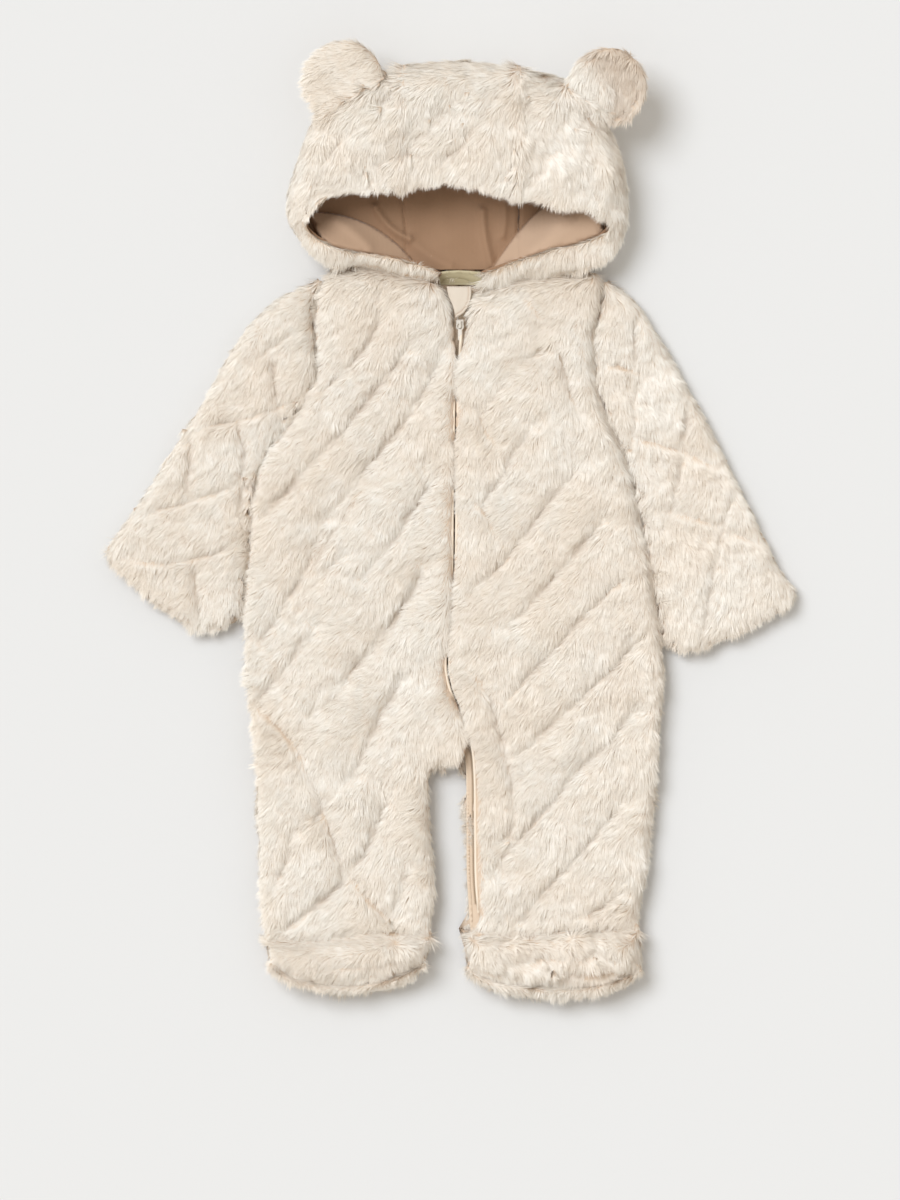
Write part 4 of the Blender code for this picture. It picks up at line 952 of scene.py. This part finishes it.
# the lining rises to the right of these lines as one goes along them; there it takes painted light:
# start, middle and end in mm, height of the step in mm, slope beyond it, share of the paler, lit
# tone
LINING_RISES = [
    (-112, 245, -66, 234, -30, 203, 7.0, 0.60, 0.6),
    (30, 196, 52, 228, 78, 254, 7.0, 0.55, 1.0),
]
RISE_MOST = 22 * MM
RIM_SOFT = 9 * MM  # how far outside the opening the folds die away
SAG, SAG_WIDE = 0.8 * MM, 26 * MM  # how the lining's floor waves between its folds
LINING_SEAMS = [np.array([(x, 190), (x, 270)]) * MM for x in (-40.0, 53.1)]
SEAM_DRAWN = 2.0 * MM  # how far from its seams the lining is drawn together
FLOOR_Z = (10.9 * MM, 13 * MM)  # the upper side of the lining's floor lies between these


def mouth_share(points):
    """1 under the face opening, and 0 from a little beyond its edge."""
    return ramp(past_line(points, HOOD_MOUTH), -RIM_SOFT, 0.0)


def lining_lift(points):
    """How far the folds lift the lining's floor at each point, and the share of painted light, a
    paler tan where the cheeks rise to face the lamp.
    """
    lift = np.zeros(len(points))
    brushed = np.zeros(len(points))
    for *row, high, half_wide in LINING_RIDGES:
        lift += high * MM * bell(to_line(points, line_points(row))[0], half_wide * MM)
    for *row, high, slope, paler in LINING_RISES:
        beyond = past_line(points, line_points(row))
        rise = high * MM * ramp(beyond, -0.7 * MM, 0.7 * MM) + slope * np.maximum(beyond, 0)
        lift += np.minimum(rise, RISE_MOST)
        brushed = np.maximum(brushed, paler * ramp(beyond, -0.3 * MM, 0.8 * MM))
    lift += SAG * swirl(points, SAG_WIDE, 6)
    share = mouth_share(points)
    return lift * share, brushed * share


for node in ("lining_side_right", "lining_centre", "lining_side_left"):
    folds = [line_points(row) for row in LINING_RIDGES + LINING_RISES] + LINING_SEAMS
    mesh = finer(node, 6 * MM, folds, 2.0 * MM, rounds=12)
    points = rounded_off(mesh, 2)
    low = (points[:, 2] > FLOOR_Z[0]) & (points[:, 2] < FLOOR_Z[1])
    for line in LINING_SEAMS:
        away, out, _ = to_line(points, line)
        points[:, :2] -= (0.85 * away * np.exp(-(away / SEAM_DRAWN) ** 4))[:, None] * out
    lift, brushed = lining_lift(points)
    points[low, 2] += lift[low]
    moved_to(mesh, points)
    stored_on(mesh, brushed=brushed * low)
    new_piece("jersey_" + node, mesh, node, lining_finish)
    print(node, len(mesh.polygons), "triangles,", round(one_side(mesh), 4), "m2 a side")

# %% [markdown]
# ## The zip
# The two edges of the fur are bound in satin. Between them runs a nylon coil on a woven tape,
# deep in the pile and seen only where the bindings part. Down the inner leg the tape lies bare
# beside the binding. The bindings and the coil follow the zip's line, so Geometry Nodes make them:
# a ring swept along a line, and a pair of teeth repeated at an even pitch.

# %% Satin, coil and metal
binding_finish = Finish("satin binding", Base_Color=paint(244, 229, 208), Roughness=0.42,
                        Sheen_Weight=0.3)
binding_finish.bump(binding_finish.noise(0.7 * MM, 1.0, (1, 0.25, 1)), 0.08 * MM)
tape_finish = Finish("peach satin tape", Roughness=0.4, Sheen_Weight=0.3)
ribs = tape_finish.ribs(0.8 * MM)
tape_finish.colour(ribs * 0.4 + tape_finish.noise(20 * MM) * 0.4,
                   paint(238, 217, 192), paint(226, 202, 176))
tape_finish.bump(ribs, 0.06 * MM)
coil_finish = Finish("nylon coil", Roughness=0.35)
coil_finish.colour(coil_finish.noise(4 * MM), paint(214, 196, 170), paint(196, 176, 148))
metal_finish = Finish("painted slider", Roughness=0.3, Metallic=0.0, Coat_Weight=0.4)
metal_finish.colour(metal_finish.noise(1.5 * MM, 3.0), paint(236, 230, 220), paint(218, 210, 198))
metal_finish.bump(metal_finish.noise(0.5 * MM), 0.03 * MM, 0.4)
for node in ("zip_slider", "zip_pull"):
    for slot in frame["nodes"][node].material_slots:
        slot.material = metal_finish.material


# %% Trees that follow a line
def line_host(name, points):
    """A chain of edges for a tree to follow."""
    mesh = bpy.data.meshes.new(name)
    mesh.from_pydata([tuple(p) for p in points], [(k, k + 1) for k in range(len(points) - 1)], [])
    return put(name, mesh)


def binding_tree():
    """A closed tube along each chain of edges."""
    board, given = shape_tree("binding", Radius="Float")
    node = board.node
    curve = node("GeometryNodeMeshToCurve", {}, {"Mesh": given["Mesh"]})
    ring = node("GeometryNodeCurvePrimitiveCircle", {}, {
        "Resolution": 8, "Radius": given["Radius"]})
    tube = node("GeometryNodeCurveToMesh", {}, {
        "Curve": curve, "Profile Curve": ring, "Fill Caps": True})
    real = node("GeometryNodeRealizeInstances", {}, {"Geometry": tube})
    return end_tree(board, real, given["Material"])


def coil_tree():
    """A pair of teeth at an even pitch along a chain of edges."""
    board, given = shape_tree("coil", Teeth="Object", Pitch="Float")
    node = board.node
    curve = node("GeometryNodeMeshToCurve", {}, {"Mesh": given["Mesh"]})
    even = node("GeometryNodeResampleCurve", {"mode": "LENGTH"}, {
        "Curve": curve, "Length": given["Pitch"]})
    spots = node("GeometryNodeCurveToPoints", {"mode": "EVALUATED"}, {"Curve": even})
    facing = node("FunctionNodeAxesToRotation", {"primary_axis": "Y", "secondary_axis": "Z"}, {
        "Primary Axis": Wire(board, spots.socket.node.outputs["Tangent"]),
        "Secondary Axis": (0.0, 0.0, 1.0)})
    teeth = node("GeometryNodeObjectInfo", {}, {"Object": given["Teeth"]}, "Geometry")
    placed = node("GeometryNodeInstanceOnPoints", {}, {
        "Points": spots, "Instance": teeth, "Rotation": facing})
    real = node("GeometryNodeRealizeInstances", {}, {"Geometry": placed})
    return end_tree(board, real, given["Material"])


# %% Bindings
BINDING_RADIUS = 1.15 * MM
BINDING_OFF = 1.7 * MM  # from the zip's middle
BINDING_HIGH = 18.8 * MM
BINDING_END = 4.5 * MM  # how far a binding dips at its ends, into the pile
# side of the zip, then from and to which y it shows, in mm
BINDINGS = [("left", 154, 128), ("right", 106, 56), ("left", 106, 56), ("right", 34, -54),
            ("left", 34, -54), ("right", -98, -152), ("left", -98, -152), ("left", -168, -318)]


def binding_line(side, top, bottom):
    """The middle of a binding beside the zip."""
    line = ZIP_LINE[(ZIP_LINE[:, 1] < top * MM) & (ZIP_LINE[:, 1] > bottom * MM)]
    ahead = np.gradient(line, axis=0)
    ahead /= np.linalg.norm(ahead, axis=1)[:, None]
    across = np.stack([-ahead[:, 1], ahead[:, 0]], axis=1) * (1 if side == "left" else -1)
    to_end = np.minimum(line[0, 1] - line[:, 1], line[:, 1] - line[-1, 1])
    high = BINDING_HIGH - BINDING_END * (1 - ramp(to_end, 0, 12 * MM))
    return np.column_stack([line + across * BINDING_OFF, high])


tubes = binding_tree()
binding_work = bmesh.new()
for side, top, bottom in BINDINGS:
    host = line_host("binding_line", binding_line(side, top, bottom))
    binding_work.from_mesh(grown("binding", host, tubes, Radius=BINDING_RADIUS,
                                 Material=binding_finish.material))
    bpy.data.objects.remove(host)
bmesh.ops.recalc_face_normals(binding_work, faces=binding_work.faces)
binding_mesh = mesh_of(binding_work, "zip_bindings")
new_piece("zip_bindings", binding_mesh, None, binding_finish)
print(len(BINDINGS), "bindings,", len(binding_mesh.polygons), "faces")

# %% Coil
TOOTH = Vector((1.5, 0.75, 1.4)) * MM
TEETH_PITCH = 1.5 * MM
COIL_FROM, COIL_TO, COIL_HIGH = 154, -310, 11.4 * MM

pair = bmesh.new()
for side in (-1, 1):
    made = bmesh.ops.create_cube(pair, size=1.0)["verts"]
    bmesh.ops.scale(pair, verts=made, vec=TOOTH)
    bmesh.ops.translate(pair, verts=made, vec=(side * 0.45 * TOOTH.x, side * TEETH_PITCH / 4, 0))
bmesh.ops.bevel(pair, geom=pair.edges[:], offset=0.2 * MM, segments=1, affect="EDGES")
pair_object = bpy.data.objects.new("teeth", mesh_of(pair, "teeth"))
coil_line = ZIP_LINE[(ZIP_LINE[:, 1] < COIL_FROM * MM) & (ZIP_LINE[:, 1] > COIL_TO * MM)]
host = line_host("coil_line", np.column_stack([coil_line, np.full(len(coil_line), COIL_HIGH)]))
coil_mesh = grown("zip_coil", host, coil_tree(), Teeth=pair_object, Pitch=TEETH_PITCH,
                  Material=coil_finish.material)
bpy.data.objects.remove(host)
bpy.data.objects.remove(pair_object)
new_piece("zip_coil", coil_mesh, "zip_chain", coil_finish)
print("the coil has", len(coil_mesh.polygons), "faces")

# %% Tape
TAPE_EDGE = 5.6 * MM  # from the zip's middle to the tape's rolled edge
TAPE_ROLL, ROLL_WIDE = 1.1 * MM, 1.0 * MM
TAPE_LONGER = 9 * MM  # how far its lower end runs on into the bootie
TAPE_END = (300 * MM, 318 * MM)  # how far below y = 0 it is drawn out
tape_mesh = finer("zip_tape", 3 * MM)
points = table_of(tape_mesh.vertices, "co", 3)
zip_x = np.interp(points[:, 1], ZIP_LINE[::-1, 1], ZIP_LINE[::-1, 0])
points[:, 2] += TAPE_ROLL * bell(zip_x - points[:, 0] - TAPE_EDGE, ROLL_WIDE)
points[:, 1] -= TAPE_LONGER * ramp(-points[:, 1], *TAPE_END)
moved_to(tape_mesh, points)
tape = new_piece("woven_zip_tape", tape_mesh, "zip_tape", tape_finish)
print("zip tape", len(tape_mesh.polygons), "triangles")

# %% [markdown]
# ## Neck tape and chin guard
# A khaki satin tape covers the back neck seam, and its rear edge rolls over. A cream jersey flap
# guards the chin from the top of the zip: its free edge is bound, with a row of stitches inside.

# %% Neck tape
neck_finish = Finish("khaki satin", Roughness=0.38, Sheen_Weight=0.3)
satin = neck_finish.mix(neck_finish.noise(8 * MM), paint(208, 197, 162), paint(196, 183, 146))
# painted shade: the hollow under the rolled edge is darkened towards a deep khaki
neck_finish.colour(neck_finish.attribute("folded"), satin, paint(126, 112, 78))
neck_finish.bump(neck_finish.noise(0.6 * MM, 1.0, (0.2, 1, 1)), 0.06 * MM)
NECK_REAR = [(-12, 195), (-4, 196.2), (5, 196.6), (14, 196.2), (21, 195)]
NECK_ROLL, ROLL_IN = 1.8 * MM, 1.3 * MM  # height of the roll, and how far in from the rear edge
# middle x and y, half length, half width and depth
NECK_HOLLOW = (2 * MM, 189 * MM, 11 * MM, 3.0 * MM, 2.6 * MM)
NECK_STRETCH, STRETCH_FROM = 1.5, 16 * MM  # the tape's left end runs on under the fur
REAR_MOVED, REAR_Y = 2.0 * MM, (191 * MM, 195 * MM)  # the rear edge is moved back to its seam
neck_mesh = finer("neck_tape", 1.5 * MM)
points, upper = points_and_top(neck_mesh)
rear = np.interp(points[:, 0] / MM, *np.array(NECK_REAR).T) * MM
roll = bell(rear - points[:, 1] - ROLL_IN, ROLL_WIDE)
hollow_x, hollow_y, hollow_long, hollow_wide, hollow_deep = NECK_HOLLOW
hollow = np.exp(-((points[:, 0] - hollow_x) / hollow_long) ** 2
                - ((points[:, 1] - hollow_y) / hollow_wide) ** 2)
points[upper, 2] += (NECK_ROLL * roll - hollow_deep * hollow)[upper]
points[:, 0] += NECK_STRETCH * np.maximum(points[:, 0] - STRETCH_FROM, 0)
points[:, 1] += REAR_MOVED * ramp(points[:, 1], *REAR_Y)
moved_to(neck_mesh, points)
# the painted shade follows the hollow
stored_on(neck_mesh, folded=np.minimum(1.3 * hollow, 1.0))
neck_tape = new_piece("satin_neck_tape", neck_mesh, "neck_tape", neck_finish)

# %% Chin guard
guard_finish = Finish("cream jersey", Roughness=0.8, Sheen_Weight=0.2)
knit = guard_finish.ribs(0.7 * MM)
jersey = guard_finish.mix(knit * 0.4 + guard_finish.noise(10 * MM) * 0.4,
                          paint(226, 214, 198), paint(215, 200, 182))
# the row of stitches is darkened: partly the thread, partly painted shade in the groove that it
# draws in
guard_finish.colour(guard_finish.attribute("stitched"), jersey, paint(188, 164, 138))
guard_finish.bump(knit, 0.08 * MM, 0.6)
CHIN_FREE_EDGE = np.array([(2.4, 159.8), (8.6, 163.4), (12.4, 168), (14.6, 174), (15.4, 180),
                           (15.2, 185.6)]) * MM
CHIN_TOP = 185.4 * MM
STITCHES_IN, STITCH_WIDE = 2.3 * MM, 0.55 * MM  # the row of stitches, from the free edge
BOUND_WIDE = 0.8 * MM  # half width of the bound edges
guard_mesh = finer("chin_guard", 1.4 * MM)
points, upper = points_and_top(guard_mesh)
inside = to_line(points, CHIN_FREE_EDGE)[0]
from_top = CHIN_TOP - points[:, 1]
stitches = bell(inside - STITCHES_IN, STITCH_WIDE)
bound = (0.8 * bell(inside - 0.9 * MM, BOUND_WIDE) - 0.7 * stitches
         + 0.5 * bell(from_top - 0.8 * MM, BOUND_WIDE) + 0.5 * swirl(points, 8 * MM, 9)) * MM
points[upper, 2] += bound[upper]
moved_to(guard_mesh, points)
# the same darkening, partly thread and partly painted shade
stored_on(guard_mesh, stitched=0.6 * stitches)
guard = new_piece("jersey_chin_guard", guard_mesh, "chin_guard", guard_finish)
print("neck tape", len(neck_mesh.polygons), "triangles, chin guard", len(guard_mesh.polygons))
